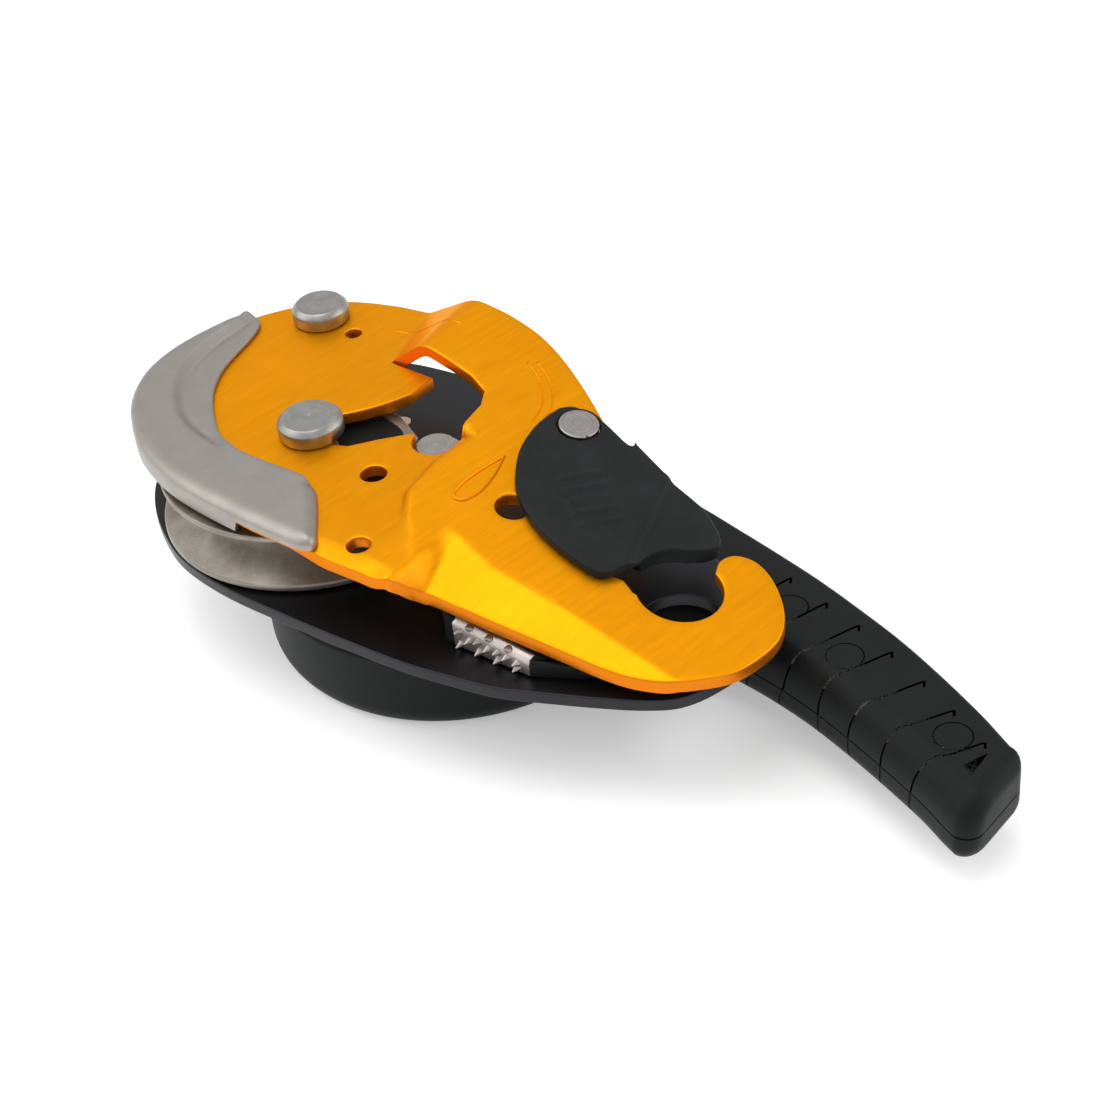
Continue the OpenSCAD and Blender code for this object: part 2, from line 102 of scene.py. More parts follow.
class Val:
    """A number that changes over a surface, held as a node's output socket."""

    def __init__(self, paint: "Paint", socket: bpy.types.NodeSocket) -> None:
        """Wraps a socket.

        Args:
            paint: the material that the socket's node is in.
            socket: the output socket.
        """
        self.paint = paint
        self.socket = socket

    def _math(self, operation: str, first: Number, second: Number) -> "Val":
        """Adds a Math node.

        Args:
            operation: the Math node's operation.
            first: its first input.
            second: its second input.

        Returns:
            The node's value.
        """
        return self.paint.value("ShaderNodeMath", {"operation": operation}, {0: first, 1: second})

    def __add__(self, other: Number) -> "Val":
        """Returns self + other."""
        return self._math("ADD", self, other)

    __radd__ = __add__

    def __sub__(self, other: Number) -> "Val":
        """Returns self - other."""
        return self._math("SUBTRACT", self, other)

    def __rsub__(self, other: Number) -> "Val":
        """Returns other - self."""
        return self._math("SUBTRACT", other, self)

    def __mul__(self, other: Number) -> "Val":
        """Returns self * other."""
        return self._math("MULTIPLY", self, other)

    __rmul__ = __mul__

    def __abs__(self) -> "Val":
        """Returns the size of self without its sign."""
        return self._math("ABSOLUTE", self, 0.0)

    def between(self, low: float, high: float) -> "Val":
        """Scales a stretch of the value to 0 to 1.

        Args:
            low: the value that becomes 0.
            high: the value that becomes 1.

        Returns:
            The scaled value, clamped.
        """
        return self.paint.value("ShaderNodeMapRange", {"clamp": True, "interpolation_type": "SMOOTHSTEP"},
                                {"Value": self, "From Min": low, "From Max": high})


class Paint:
    """A procedural material while it is being built."""

    def __init__(self, name: str) -> None:
        """Starts a material.

        Args:
            name: the material's name.
        """
        self.material = bpy.data.materials.new(name)
        self.material.use_nodes = True
        self.tree = self.material.node_tree
        self.tree.nodes.clear()
        self.output = self.tree.nodes.new("ShaderNodeOutputMaterial")
        self.shader = self.tree.nodes.new("ShaderNodeBsdfPrincipled")
        self.tree.links.new(self.shader.outputs[0], self.output.inputs[0])

    def node(self, kind: str, settings: Optional[dict] = None,
             inputs: Optional[dict] = None) -> bpy.types.Node:
        """Adds a node.

        Args:
            kind: the node's type.
            settings: its properties, which are set first.
            inputs: values, sockets or Vals for its inputs, by name or place.

        Returns:
            The node.
        """
        made = self.tree.nodes.new(kind)
        for name, value in (settings or {}).items():
            setattr(made, name, value)
        for name, value in (inputs or {}).items():
            self.feed(made.inputs[name], value)
        return made

    def feed(self, socket: bpy.types.NodeSocket, value: Any) -> None:
        """Sets or links an input socket.

        Args:
            socket: the input.
            value: a Val, an output socket, or plain numbers.
        """
        if isinstance(value, Val):
            self.tree.links.new(value.socket, socket)
        elif isinstance(value, bpy.types.NodeSocket):
            self.tree.links.new(value, socket)
        else:
            socket.default_value = value

    def value(self, kind: str, settings: Optional[dict] = None, inputs: Optional[dict] = None,
              output: Union[int, str] = 0) -> Val:
        """Adds a node and wraps one of its outputs.

        Args:
            kind: the node's type.
            settings: its properties.
            inputs: its inputs.
            output: which output.

        Returns:
            The output as a Val.
        """
        return Val(self, self.node(kind, settings, inputs).outputs[output])

    def place(self, scale: Sequence[float] = (1, 1, 1), turn: float = 0.0) -> bpy.types.NodeSocket:
        """The point on the object, in its own frame.

        Args:
            scale: how much each axis is multiplied, after the turn.
            turn: turn about Z, in degrees.

        Returns:
            The vector socket.
        """
        point = self.node("ShaderNodeTexCoord").outputs["Object"]
        spun = self.node("ShaderNodeVectorRotate", {"rotation_type": "Z_AXIS"},
                         {"Vector": point, "Angle": math.radians(turn)}).outputs[0]
        return self.node("ShaderNodeVectorMath", {"operation": "MULTIPLY"},
                         {0: spun, 1: tuple(scale)}).outputs[0]

    def noise(self, size: float, detail: float = 3.0, at: Optional[bpy.types.NodeSocket] = None,
              roughness: float = 0.55) -> Val:
        """Smooth noise.

        Args:
            size: size of its grains, in millimetres.
            detail: how many finer layers it has.
            at: the point, if not the plain one.
            roughness: weight of the finer layers.

        Returns:
            The noise, about 0.5.
        """
        where = at if at is not None else self.place()
        return self.value("ShaderNodeTexNoise", {"noise_dimensions": "3D"},
                          {"Vector": where, "Scale": PER_METRE / size, "Detail": detail,
                           "Roughness": roughness})

    def facing(self) -> Val:
        """How flat the surface lies in the part's frame: 1 on top and bottom, 0 on a wall."""
        normal = self.node("ShaderNodeTexCoord").outputs["Normal"]
        return abs(self.value("ShaderNodeSeparateXYZ", None, {0: normal}, output=2))

    def blend(self, amount: Number, first: Any, second: Any) -> bpy.types.NodeSocket:
        """Mixes two colours.

        Args:
            amount: share of the second.
            first: a colour or its socket.
            second: a colour or its socket.

        Returns:
            The colour socket.
        """
        mix = self.node("ShaderNodeMix", {"data_type": "RGBA"})
        self.feed(mix.inputs["Factor"], amount)
        for socket, colour in ((mix.inputs[6], first), (mix.inputs[7], second)):
            self.feed(socket, opaque(colour))
        return mix.outputs[2]

    def dress(self, colour: Any, roughness: Number, metallic: float = 0.0, height: Optional[Val] = None,
              depth: float = 0.02, specular: float = 0.5,
              tint: Colour = WHITE) -> bpy.types.Material:
        """Sets the surface.

        Args:
            colour: base colour.
            roughness: roughness.
            metallic: metallic share.
            height: relief, about 0 to 1.
            depth: what a relief of 1 stands for, in millimetres.
            specular: specular level.
            tint: colour of what it reflects at a low angle.

        Returns:
            The material.
        """
        self.feed(self.shader.inputs["Base Color"], opaque(colour))
        self.feed(self.shader.inputs["Roughness"], roughness)
        self.shader.inputs["Metallic"].default_value = metallic
        self.shader.inputs["Specular IOR Level"].default_value = specular
        self.shader.inputs["Specular Tint"].default_value = opaque(tint)
        if height is not None:
            bump = self.node("ShaderNodeBump", None, {"Height": height, "Distance": depth * MM,
                                                      "Strength": 1.0})
            self.feed(self.shader.inputs["Normal"], bump.outputs[0])
        return self.material


# ---- finishes ----------------------------------------------------------------------------


@dataclass(frozen=True)
class Anodised:
    """Brushed aluminium plate, anodised; its upright walls are painted a deeper, darker tone: painted
    shade with a painted redder cast of light bounced between the orange walls.
    """

    face: Colour = (0.95, 0.345, 0.003)
    # wall: painted shade on the upright walls, with a painted redder cast of bounced light
    wall: Colour = (0.72, 0.2, 0.01)
    shine: float = 0.38
    metallic: float = 0.8
    brushed_at: float = -84.0
    contrast: float = 0.14
    gleam: Colour = (1.0, 0.66, 0.2)

    def make(self, name: str) -> bpy.types.Material:
        """Builds the material.

        Args:
            name: its name.

        Returns:
            The material.
        """
        paint = Paint(name)
        strokes = paint.noise(0.16, 2.0, paint.place((0.03, 1.0, 0.3), self.brushed_at))
        streaks = paint.noise(1.1, 2.0, paint.place((0.05, 1.0, 0.3), self.brushed_at))
        clouds = paint.noise(16.0, 2.0)
        tone = (strokes - 0.5) * self.contrast + (streaks - 0.5) * self.contrast + (clouds - 0.5) * 0.1
        face = paint.blend((tone + 0.5).between(0.3, 0.7), scaled(self.face, 0.72),
                           scaled(self.face, 1.12))
        # surfaces that stand up take the wall colour: painted shade and painted bounced light
        flat = paint.facing().between(0.3, 0.8)
        return paint.dress(paint.blend(flat, self.wall, face), (strokes - 0.5) * 0.3 + self.shine,
                           self.metallic, strokes, 0.006, 0.3, self.gleam)


@dataclass(frozen=True)
class BlackPlate:
    """Black anodised plate whose sloped edges are lighter: a painted edge highlight, broken into patches
    by noise.
    """

    face: Colour = (0.006, 0.007, 0.0075)
    # colour of the painted edge highlight
    edge_highlight: Colour = (0.1, 0.1, 0.098)

    def make(self, name: str) -> bpy.types.Material:
        """Builds the material.

        Args:
            name: its name.

        Returns:
            The material.
        """
        paint = Paint(name)
        grain = paint.noise(0.35, 3.0)
        clouds = paint.noise(9.0, 3.0)
        slant = paint.facing()
        # painted edge highlight on the sloped surfaces between face and wall, in patches of noise
        edge = slant.between(0.25, 0.45) * (1 - slant.between(0.8, 0.96))
        highlight_patches = paint.noise(2.2, 4.0).between(0.42, 0.6)
        face = paint.blend(clouds.between(0.35, 0.65), self.face, scaled(self.face, 1.6))
        return paint.dress(paint.blend(edge * (0.35 + highlight_patches * 0.5), face, self.edge_highlight),
                           (grain - 0.5) * 0.2 + 0.42, 0.0, grain, 0.006, 0.16)


@dataclass(frozen=True)
class SteelFinish:
    """Bare steel: its tone, its roughness and the size of its grain."""

    tone: Colour = (0.56, 0.55, 0.52)
    shine: float = 0.34
    grain: float = 0.3
    relief: float = 0.008
    stretch: float = 0.06
    turn: float = 0.0
    stain: Colour = (0.4, 0.39, 0.36)

    def make(self, name: str) -> bpy.types.Material:
        """Builds the material.

        Args:
            name: its name.

        Returns:
            The material.
        """
        paint = Paint(name)
        fine = paint.noise(self.grain, 3.0, paint.place((self.stretch, 1.0, 1.0), self.turn))
        clouds = paint.noise(7.0, 3.0)
        specks = paint.noise(0.8, 4.0).between(0.6, 0.75)
        colour = paint.blend(clouds.between(0.3, 0.75) * 0.5 + specks * 0.3, self.tone, self.stain)
        return paint.dress(colour, (fine - 0.5) * 0.3 + (clouds - 0.5) * 0.14 + self.shine, 1.0, fine,
                           self.relief)


@dataclass(frozen=True)
class CastSteel:
    """Tumbled casting with a sandy skin."""

    tone: Colour = (0.36, 0.33, 0.285)
    dark: Colour = (0.235, 0.21, 0.18)
    shine: float = 0.44

    def make(self, name: str) -> bpy.types.Material:
        """Builds the material.

        Args:
            name: its name.

        Returns:
            The material.
        """
        paint = Paint(name)
        sand = paint.noise(0.42, 4.0, roughness=0.65)
        lumps = paint.noise(1.6, 3.0)
        clouds = paint.noise(8.0, 3.0)
        colour = paint.blend((clouds * 0.6 + sand * 0.4).between(0.35, 0.65), self.dark, self.tone)
        return paint.dress(colour, (sand - 0.5) * 0.3 + self.shine, 0.9, sand * 0.7 + lumps * 0.6, 0.05)


@dataclass(frozen=True)
class Turned:
    """Steel turned on a lathe, with rings about one axis."""

    centre: Point = (0.0, 0.0)
    tone: Colour = (0.42, 0.405, 0.38)
    shine: float = 0.38
    pitch: float = 0.3
    bands_per_metre: float = 650.0

    def make(self, name: str) -> bpy.types.Material:
        """Builds the material.

        Args:
            name: its name.

        Returns:
            The material.
        """
        paint = Paint(name)
        moved = paint.node("ShaderNodeVectorMath", {"operation": "SUBTRACT"},
                           {0: paint.place(), 1: (*self.centre, 0.0)}).outputs[0]
        plan = paint.node("ShaderNodeVectorMath", {"operation": "MULTIPLY"},
                          {0: moved, 1: (1, 1, 0)}).outputs[0]
        radius = paint.value("ShaderNodeVectorMath", {"operation": "LENGTH"}, {0: plan}, output="Value")
        rings = paint.value("ShaderNodeTexNoise", {"noise_dimensions": "1D"},
                            {"W": radius, "Scale": PER_METRE / self.pitch, "Detail": 2.0})
        bands = paint.value("ShaderNodeTexNoise", {"noise_dimensions": "1D"},
                            {"W": radius, "Scale": self.bands_per_metre, "Detail": 1.0})
        smear = paint.noise(3.0, 3.0)
        colour = paint.blend((rings * 0.5 + smear * 0.5).between(0.35, 0.7),
                             scaled(self.tone, 0.72), self.tone)
        return paint.dress(colour, (rings - 0.5) * 0.3 + (bands - 0.5) * 0.2 + self.shine, 1.0,
                           rings * 0.5 + bands * 0.3, 0.012)


@dataclass(frozen=True)
class Moulded:
    """Moulded plastic with a fine spark-eroded grain."""

    tone: Colour = (0.0062, 0.0076, 0.0072)
    shine: float = 0.46
    grain: float = 0.5
    relief: float = 0.03
    specular: float = 0.13

    def make(self, name: str) -> bpy.types.Material:
        """Builds the material.

        Args:
            name: its name.

        Returns:
            The material.
        """
        paint = Paint(name)
        pits = paint.value("ShaderNodeTexVoronoi", {"feature": "SMOOTH_F1"},
                           {"Vector": paint.place(), "Scale": PER_METRE / self.grain,
                            "Smoothness": 0.6})
        fine = paint.noise(self.grain * 0.6, 3.0)
        clouds = paint.noise(14.0, 3.0)
        rubbed = paint.noise(3.0, 4.0).between(0.5, 0.72)
        colour = paint.blend(clouds.between(0.35, 0.65) * 0.6 + rubbed * 0.3, self.tone,
                             scaled(self.tone, 1.5))
        return paint.dress(colour, (clouds - 0.5) * 0.16 + (fine - 0.5) * 0.1 + self.shine, 0.0,
                           pits * 0.7 + fine * 0.5, self.relief, self.specular)


class Finish(Enum):
    """The object's finishes."""

    YELLOW = Anodised()
    BLACK_PLATE = BlackPlate()
    GUARD = SteelFinish(tone=(0.37, 0.345, 0.315), shine=0.46, grain=0.22, stretch=0.3, turn=-40.0,
                        stain=(0.3, 0.28, 0.255))
    CAST = CastSteel()
    DARK_STEEL = SteelFinish(tone=(0.33, 0.315, 0.3), shine=0.42, grain=0.5, stretch=1.0, relief=0.02,
                             stain=(0.2, 0.185, 0.17))
    INSERT = SteelFinish(tone=(0.52, 0.475, 0.45), shine=0.4, grain=0.4, stretch=1.0, relief=0.02,
                         stain=(0.36, 0.325, 0.3))
    WIRE = SteelFinish(tone=(0.5, 0.49, 0.47), shine=0.26, grain=0.3)
    PLATED = SteelFinish(tone=(0.6, 0.59, 0.56), shine=0.3, grain=0.4, stretch=0.4)
    BRONZE = SteelFinish(tone=(0.55, 0.36, 0.16), shine=0.38, grain=0.35, stretch=1.0, relief=0.012,
                         stain=(0.36, 0.22, 0.1))
    HANDLE = Moulded()
    HUB = Moulded(tone=(0.0066, 0.0092, 0.0086), shine=0.44, grain=0.42)
    GATE = Moulded(tone=(0.0105, 0.0125, 0.0125), shine=0.5, grain=0.62, relief=0.045)

    def material(self) -> bpy.types.Material:
        """Returns the finish's material, built once."""
        found = bpy.data.materials.get(self.name.lower())
        return found if found else self.value.make(self.name.lower())


# ---- meshes ------------------------------------------------------------------------------


def joint(name: str) -> dict:
    """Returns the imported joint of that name."""
    return next(j for j in frame["joints"] if j["name"] == name)


AXLE = joint("cam_rock")["pos_m"]
PIVOT = joint("handle_turn")["pos_m"]


def from_axle(points: Iterable[Point]) -> list[Vector]:
    """Moves a plan laid out from the cam axle, in millimetres, into the part's frame.

    Args:
        points: places seen from the front.

    Returns:
        The places, in metres.
    """
    return [Vector((AXLE[0] + x * MM, AXLE[1] + y * MM)) for x, y in points]


def to_axle(x: np.ndarray, y: np.ndarray) -> tuple[np.ndarray, np.ndarray]:
    """Returns places in the part's frame as millimetres from the cam axle."""
    return (x - AXLE[0]) / MM, (y - AXLE[1]) / MM


def xy_arrays(points: Sequence[Vector]) -> tuple[np.ndarray, np.ndarray]:
    """Returns the points' x and y as two arrays."""
    return np.array([p.x for p in points]), np.array([p.y for p in points])


def node_place(node: str) -> tuple[Point, float, float]:
    """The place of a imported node.

    Args:
        node: the node.

    Returns:
        The middle of its box in plan, its lowest and its highest height.
    """
    low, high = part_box(node)
    return ((low.x + high.x) / 2, (low.y + high.y) / 2), low.z, high.z


def quarter(steps: int) -> list[float]:
    """Returns the angles of a quarter turn, in even steps."""
    return [math.pi / 2 * i / steps for i in range(steps + 1)]


def circle(sides: int) -> list[float]:
    """Returns the angles of a full turn, in even steps."""
    return [2 * math.pi * i / sides for i in range(sides)]


def bridge(mesh: bmesh.types.BMesh, rings: Sequence[Sequence[bmesh.types.BMVert]],
           caps: bool = False) -> None:
    """Joins closed rings of points to each other.

    Args:
        mesh: the mesh that they are in.
        rings: the rings, in order, with the same number of points each.
        caps: whether the first and the last ring are closed too.
    """
    for low, high in zip(rings, rings[1:]):
        for i in range(len(low)):
            j = (i + 1) % len(low)
            mesh.faces.new((low[i], low[j], high[j], high[i]))
    if caps:
        mesh.faces.new(rings[0])
        mesh.faces.new(rings[-1])


def crease(mesh: bmesh.types.BMesh, angle: float) -> None:
    """Shades a mesh smooth up to its sharp edges.

    Args:
        mesh: the mesh.
        angle: edges sharper than this stay sharp, in degrees.
    """
    limit = math.radians(angle)
    for face in mesh.faces:
        face.smooth = True
    for edge in mesh.edges:
        edge.smooth = len(edge.link_faces) == 2 and edge.calc_face_angle(0.0) < limit


def finish_mesh(name: str, mesh: bmesh.types.BMesh, material: bpy.types.Material,
                smooth: float = CREASE) -> bpy.types.Object:
    """Turns a bmesh into a shown object.

    Args:
        name: the piece's name.
        mesh: the mesh, which is freed.
        material: its material.
        smooth: edges sharper than this stay sharp, in degrees.

    Returns:
        The object.
    """
    bmesh.ops.recalc_face_normals(mesh, faces=mesh.faces)
    crease(mesh, smooth)
    data = bpy.data.meshes.new(name)
    mesh.to_mesh(data)
    mesh.free()
    data.materials.append(material)
    piece = bpy.data.objects.new(name, data)
    bpy.context.scene.collection.objects.link(piece)
    return piece


def ride(piece: bpy.types.Object, body: str, replaces: Sequence[str] = ()) -> None:
    """Gives a piece its body and the nodes that it stands for.

    Args:
        piece: the piece.
        body: the body it moves with.
        replaces: the nodes that it stands for.
    """
    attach(piece, body)
    if replaces:
        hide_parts(*replaces)
    log.info("%s rides on %s", piece.name, body)


def smooth_curve(points: Sequence[Point], steps: int = 8, closed: bool = True) -> list[Vector]:
    """A Catmull-Rom curve through points.

    Args:
        points: the points it passes.
        steps: stretches between two points.
        closed: whether it joins its own start.

    Returns:
        Points along the curve.
    """
    p = [Vector(q) for q in points]
    count = len(p)

    def pick(i: int) -> Vector:
        """Returns point i, wrapped or held at the ends."""
        return p[i % count] if closed else p[max(0, min(count - 1, i))]

    made = []
    for i in range(count if closed else count - 1):
        a, b, c, d = (pick(i + k) for k in (-1, 0, 1, 2))
        for k in range(steps):
            t = k / steps
            made.append(0.5 * (2 * b + (c - a) * t + (2 * a - 5 * b + 4 * c - d) * t * t
                               + (3 * b - a - 3 * c + d) * t * t * t))
    if not closed:
        made.append(p[-1])
    return made


def inward(outline: Sequence[Vector], distance: float) -> list[Vector]:
    """An outline moved inwards along its normals.

    Args:
        outline: a closed outline, anticlockwise.
        distance: how far.

    Returns:
        The moved outline.
    """
    made = []
    for i, point in enumerate(outline):
        along = (outline[(i + 1) % len(outline)] - outline[i - 1]).normalized()
        made.append(point + Vector((-along.y, along.x)) * distance)
    return made


def round_profile(low: float, high: float, bottom: float, top: float, steps: int = 4) -> list[Point]:
    """How far a slab's side is set in at each height.

    Args:
        low: height of its underside.
        high: height of its top.
        bottom: radius of its lower edge.
        top: radius of its upper edge.
        steps: stretches in each rounding.

    Returns:
        (inset, height) pairs, from the underside up.
    """
    lower = [(bottom * (1 - math.sin(a)), low + bottom * (1 - math.cos(a))) for a in quarter(steps)]
    upper = [(top * (1 - math.cos(a)), high - top * (1 - math.sin(a))) for a in quarter(steps)]
    return lower + upper


def slab(outline: Sequence[Vector], profile: Sequence[Point]) -> bmesh.types.BMesh:
    """A flat body with rounded edges.

    Args:
        outline: its outline, anticlockwise.
        profile: (inset, height) pairs from round_profile.

    Returns:
        The mesh.
    """
    mesh = bmesh.new()
    rings = []
    for inset, z in profile:
        rings.append([mesh.verts.new((p.x, p.y, z)) for p in inward(outline, inset)])
    bridge(mesh, rings)
    for rim in (rings[0], rings[-1]):
        edges = [mesh.edges.get(pair) for pair in zip(rim, rim[1:] + rim[:1])]
        bmesh.ops.triangle_fill(mesh, edges=edges, use_beauty=True)
    return mesh


def resample(outline: Sequence[Vector], step: float) -> list[Vector]:
    """Adds points to an outline until no stretch is longer than a step.

    Args:
        outline: a closed outline.
        step: the longest stretch.

    Returns:
        The finer outline.
    """
    made = []
    for i, point in enumerate(outline):
        after = outline[(i + 1) % len(outline)]
        count = max(1, math.ceil((after - point).length / step))
        made += [point.lerp(after, k / count) for k in range(count)]
    return made


def turned(outline: list[Vector], left: bool) -> list[Vector]:
    """An outline that runs the way round that is asked for.

    Args:
        outline: a closed outline.
        left: whether it should run anticlockwise.

    Returns:
        The outline.
    """
    area = sum(a.x * b.y - b.x * a.y for a, b in zip(outline, outline[1:] + outline[:1]))
    return outline if (area > 0) == left else outline[::-1]


def ring(centre: Point, radius: float, start: float = 0.0, end: float = 360.0,
         sides: int = 48) -> list[Vector]:
    """Points of an arc or of a full circle.

    Args:
        centre: its centre.
        radius: its radius.
        start: angle of its first point, in degrees.
        end: angle of its end; a full circle leaves its end point out.
        sides: stretches.

    Returns:
        The points.
    """
    whole = abs(end - start) >= 360.0
    angles = [math.radians(start + (end - start) * i / sides) for i in range(sides + (not whole))]
    return [Vector((centre[0] + radius * math.cos(a), centre[1] + radius * math.sin(a))) for a in angles]


def inside(loops: Sequence[Sequence[Vector]], x: np.ndarray, y: np.ndarray) -> np.ndarray:
    """Tells which points lie within an odd number of loops.

    Args:
        loops: closed outlines.
        x: the points' x.
        y: the points' y.

    Returns:
        True for each point inside.
    """
    found = np.zeros(x.shape, dtype=bool)
    for loop in loops:
        for a, b in zip(loop, list(loop[1:]) + [loop[0]]):
            if a.y != b.y:
                found ^= ((a.y > y) != (b.y > y)) & (x < (b.x - a.x) * (y - a.y) / (b.y - a.y) + a.x)
    return found


def reach(line: Sequence[Vector], x: np.ndarray, y: np.ndarray, closed: bool = True) -> np.ndarray:
    """Distance of points from a line.

    Args:
        line: the line's points.
        x: the points' x.
        y: the points' y.
        closed: whether the line joins its own start.

    Returns:
        The distances.
    """
    best = np.full(x.shape, 1e9)
    ends = list(line[1:]) + ([line[0]] if closed else [])
    for a, b in zip(line, ends):
        d = b - a
        share = np.clip(((x - a.x) * d.x + (y - a.y) * d.y) / max(d.length_squared, 1e-18), 0, 1)
        best = np.minimum(best, np.hypot(x - a.x - share * d.x, y - a.y - share * d.y))
    return best


def eased(value: np.ndarray, low: float, high: float) -> np.ndarray:
    """Scales a range to 0..1 with soft ends.

    Args:
        value: the numbers.
        low: what becomes 0.
        high: what becomes 1.

    Returns:
        The scaled numbers.
    """
    share = np.clip((value - low) / (high - low), 0.0, 1.0)
    return share * share * (3 - 2 * share)


def bent(value: np.ndarray, radius: float) -> np.ndarray:
    """Keeps what is above zero, with a rounded bend at zero.

    Args:
        value: the numbers.
        radius: half the width of the bend.

    Returns:
        The rounded numbers.
    """
    soft = (value + radius) ** 2 / (4 * radius)
    return np.where(value < -radius, 0.0, np.where(value > radius, value, soft))


@dataclass
class Sheet:
    """A formed sheet: an outline with holes, between two height functions."""

    outline: Sequence[Vector]
    holes: Sequence[Sequence[Vector]]
    top: Height
    bottom: Height
    edge: float
    net: float
    step: float = 1.2 * MM

    def net_points(self, loops: Sequence[Sequence[Vector]]) -> list[Point]:
        """Points over the inside, closer together where the upper face bends.

        Args:
            loops: the inner edge loops.

        Returns:
            The points.
        """
        fine = self.net / 2
        left, right = min(p.x for p in loops[0]), max(p.x for p in loops[0])
        front, back = min(p.y for p in loops[0]), max(p.y for p in loops[0])
        columns = np.arange(int((right - left) / fine) + 1)
        rows = np.arange(int((back - front) / fine) + 1)
        column, row = (a.ravel() for a in np.meshgrid(columns, rows))
        x = left + fine * (column + 0.5 * (row % 2))
        y = front + fine * row
        here = self.top(x, y)
        bend = (abs(self.top(x + fine, y) + self.top(x - fine, y) - 2 * here)
                + abs(self.top(x, y + fine) + self.top(x, y - fine) - 2 * here))
        keep = (((column % 2 == 0) & (row % 2 == 0)) | (bend > 0.05 * fine)) & inside(loops, x, y)
        x, y = x[keep], y[keep]
        clear = np.full(x.shape, 1e9)
        for loop in loops:
            clear = np.minimum(clear, reach(loop, x, y))
        return [(float(a), float(b)) for a, b, far in zip(x, y, clear) if far > 0.4 * self.net]

    def wall(self, mesh: bmesh.types.BMesh, loop: Sequence[Vector]) -> list[list[bmesh.types.BMVert]]:
        """Makes the wall along one loop, with both its edges rounded.

        Args:
            mesh: the mesh.
            loop: the loop.

        Returns:
            The wall's rings of points, from the upper face down.
        """
        profile = [(1 - math.sin(a), 1 - math.cos(a)) for a in quarter(3)]
        rings = []
        for face, side, steps in ((self.top, 1, profile), (self.bottom, -1, profile[::-1])):
            for inset, drop in steps:
                x, y = xy_arrays(inward(loop, inset * self.edge))
                z = face(x, y) - side * drop * self.edge
                rings.append([mesh.verts.new(v) for v in zip(x, y, z)])
        bridge(mesh, rings)
        return rings

    def mesh(self) -> bmesh.types.BMesh:
        """Builds the sheet.

        Returns:
            The mesh.
        """
        mesh = bmesh.new()
        loops = [turned(resample(self.outline, self.step), True)]
        loops += [turned(resample(hole, self.step), False) for hole in self.holes]
        tops, bottoms = [], []
        for loop in loops:
            rings = self.wall(mesh, loop)
            tops += rings[0]
            bottoms += rings[-1]
        inner = [inward(loop, self.edge) for loop in loops]
        spots = [(p.x, p.y) for loop in inner for p in loop] + self.net_points(inner)
        edges, start = [], 0
        for loop in inner:
            edges += [(start + i, start + (i + 1) % len(loop)) for i in range(len(loop))]
            start += len(loop)
        plan = [Vector((x / MM, y / MM)) for x, y in spots]
        points, _, faces, origin, _, _ = delaunay_2d_cdt(plan, edges, [], 0, 1e-5)
        x, y = (np.array([p[k] for p in points]) * MM for k in (0, 1))
        high, low = self.top(x, y), self.bottom(x, y)
        upper, lower = [], []
        for i, sources in enumerate(origin):
            known = [k for k in sources if k < len(tops)]
            upper.append(tops[known[0]] if known else mesh.verts.new((x[i], y[i], high[i])))
            lower.append(bottoms[known[0]] if known else mesh.verts.new((x[i], y[i], low[i])))
        corner = np.array(faces)
        keep = inside(inner, x[corner].mean(axis=1), y[corner].mean(axis=1))
        for face in (f for f, kept in zip(faces, keep) if kept):
            for side in (upper, lower):
                corners = [side[i] for i in face]
                if len(set(corners)) == 3 and not mesh.faces.get(corners):
                    mesh.faces.new(corners)
        loose = [v for v in mesh.verts if not v.link_faces]
        bmesh.ops.delete(mesh, geom=loose, context="VERTS")
        return mesh


def lathe(centre: Point, profile: Sequence[Point], sides: int = 96) -> bmesh.types.BMesh:
    """A turned body.

    Args:
        centre: its axis, in plan.
        profile: (radius, height) pairs from its lowest middle to its highest.
        sides: sides round.

    Returns:
        The mesh.
    """
    mesh = bmesh.new()
    rings = []
    for radius, z in profile:
        if radius < 1e-7:
            rings.append([mesh.verts.new((centre[0], centre[1], z))])
            continue
        rings.append([mesh.verts.new((centre[0] + radius * math.cos(a),
                                      centre[1] + radius * math.sin(a), z)) for a in circle(sides)])
    for low, high in zip(rings, rings[1:]):
        for i in range(sides):
            j = (i + 1) % sides
            corners = [low[i % len(low)], low[j % len(low)], high[j % len(high)], high[i % len(high)]]
            mesh.faces.new(list(dict.fromkeys(corners)))
    return mesh


def sweep(path: Sequence[Vector], radius: Union[float, Sequence[float]], sides: int = 12,
          closed: bool = False) -> bmesh.types.BMesh:
    """A round bar along a path.

    Args:
        path: its middle line.
        radius: its radius, or one for each point.
        sides: sides round.
        closed: whether it joins its own start.

    Returns:
        The mesh.
    """
    mesh = bmesh.new()
    count = len(path)
    sizes = [radius] * count if isinstance(radius, (int, float)) else list(radius)
    rings = []
    up = None
    for i, point in enumerate(path):
        ahead = path[(i + 1) % count] if closed else path[min(i + 1, count - 1)]
        behind = path[i - 1] if closed else path[max(i - 1, 0)]
        along = (ahead - behind).normalized()
        up = along.orthogonal().normalized() if up is None else (up - along * up.dot(along)).normalized()
        side = along.cross(up)
        rings.append([mesh.verts.new(point + sizes[i] * (up * math.cos(a) + side * math.sin(a)))
                      for a in circle(sides)])
    bridge(mesh, rings + rings[:1] if closed else rings, caps=not closed)
    return mesh


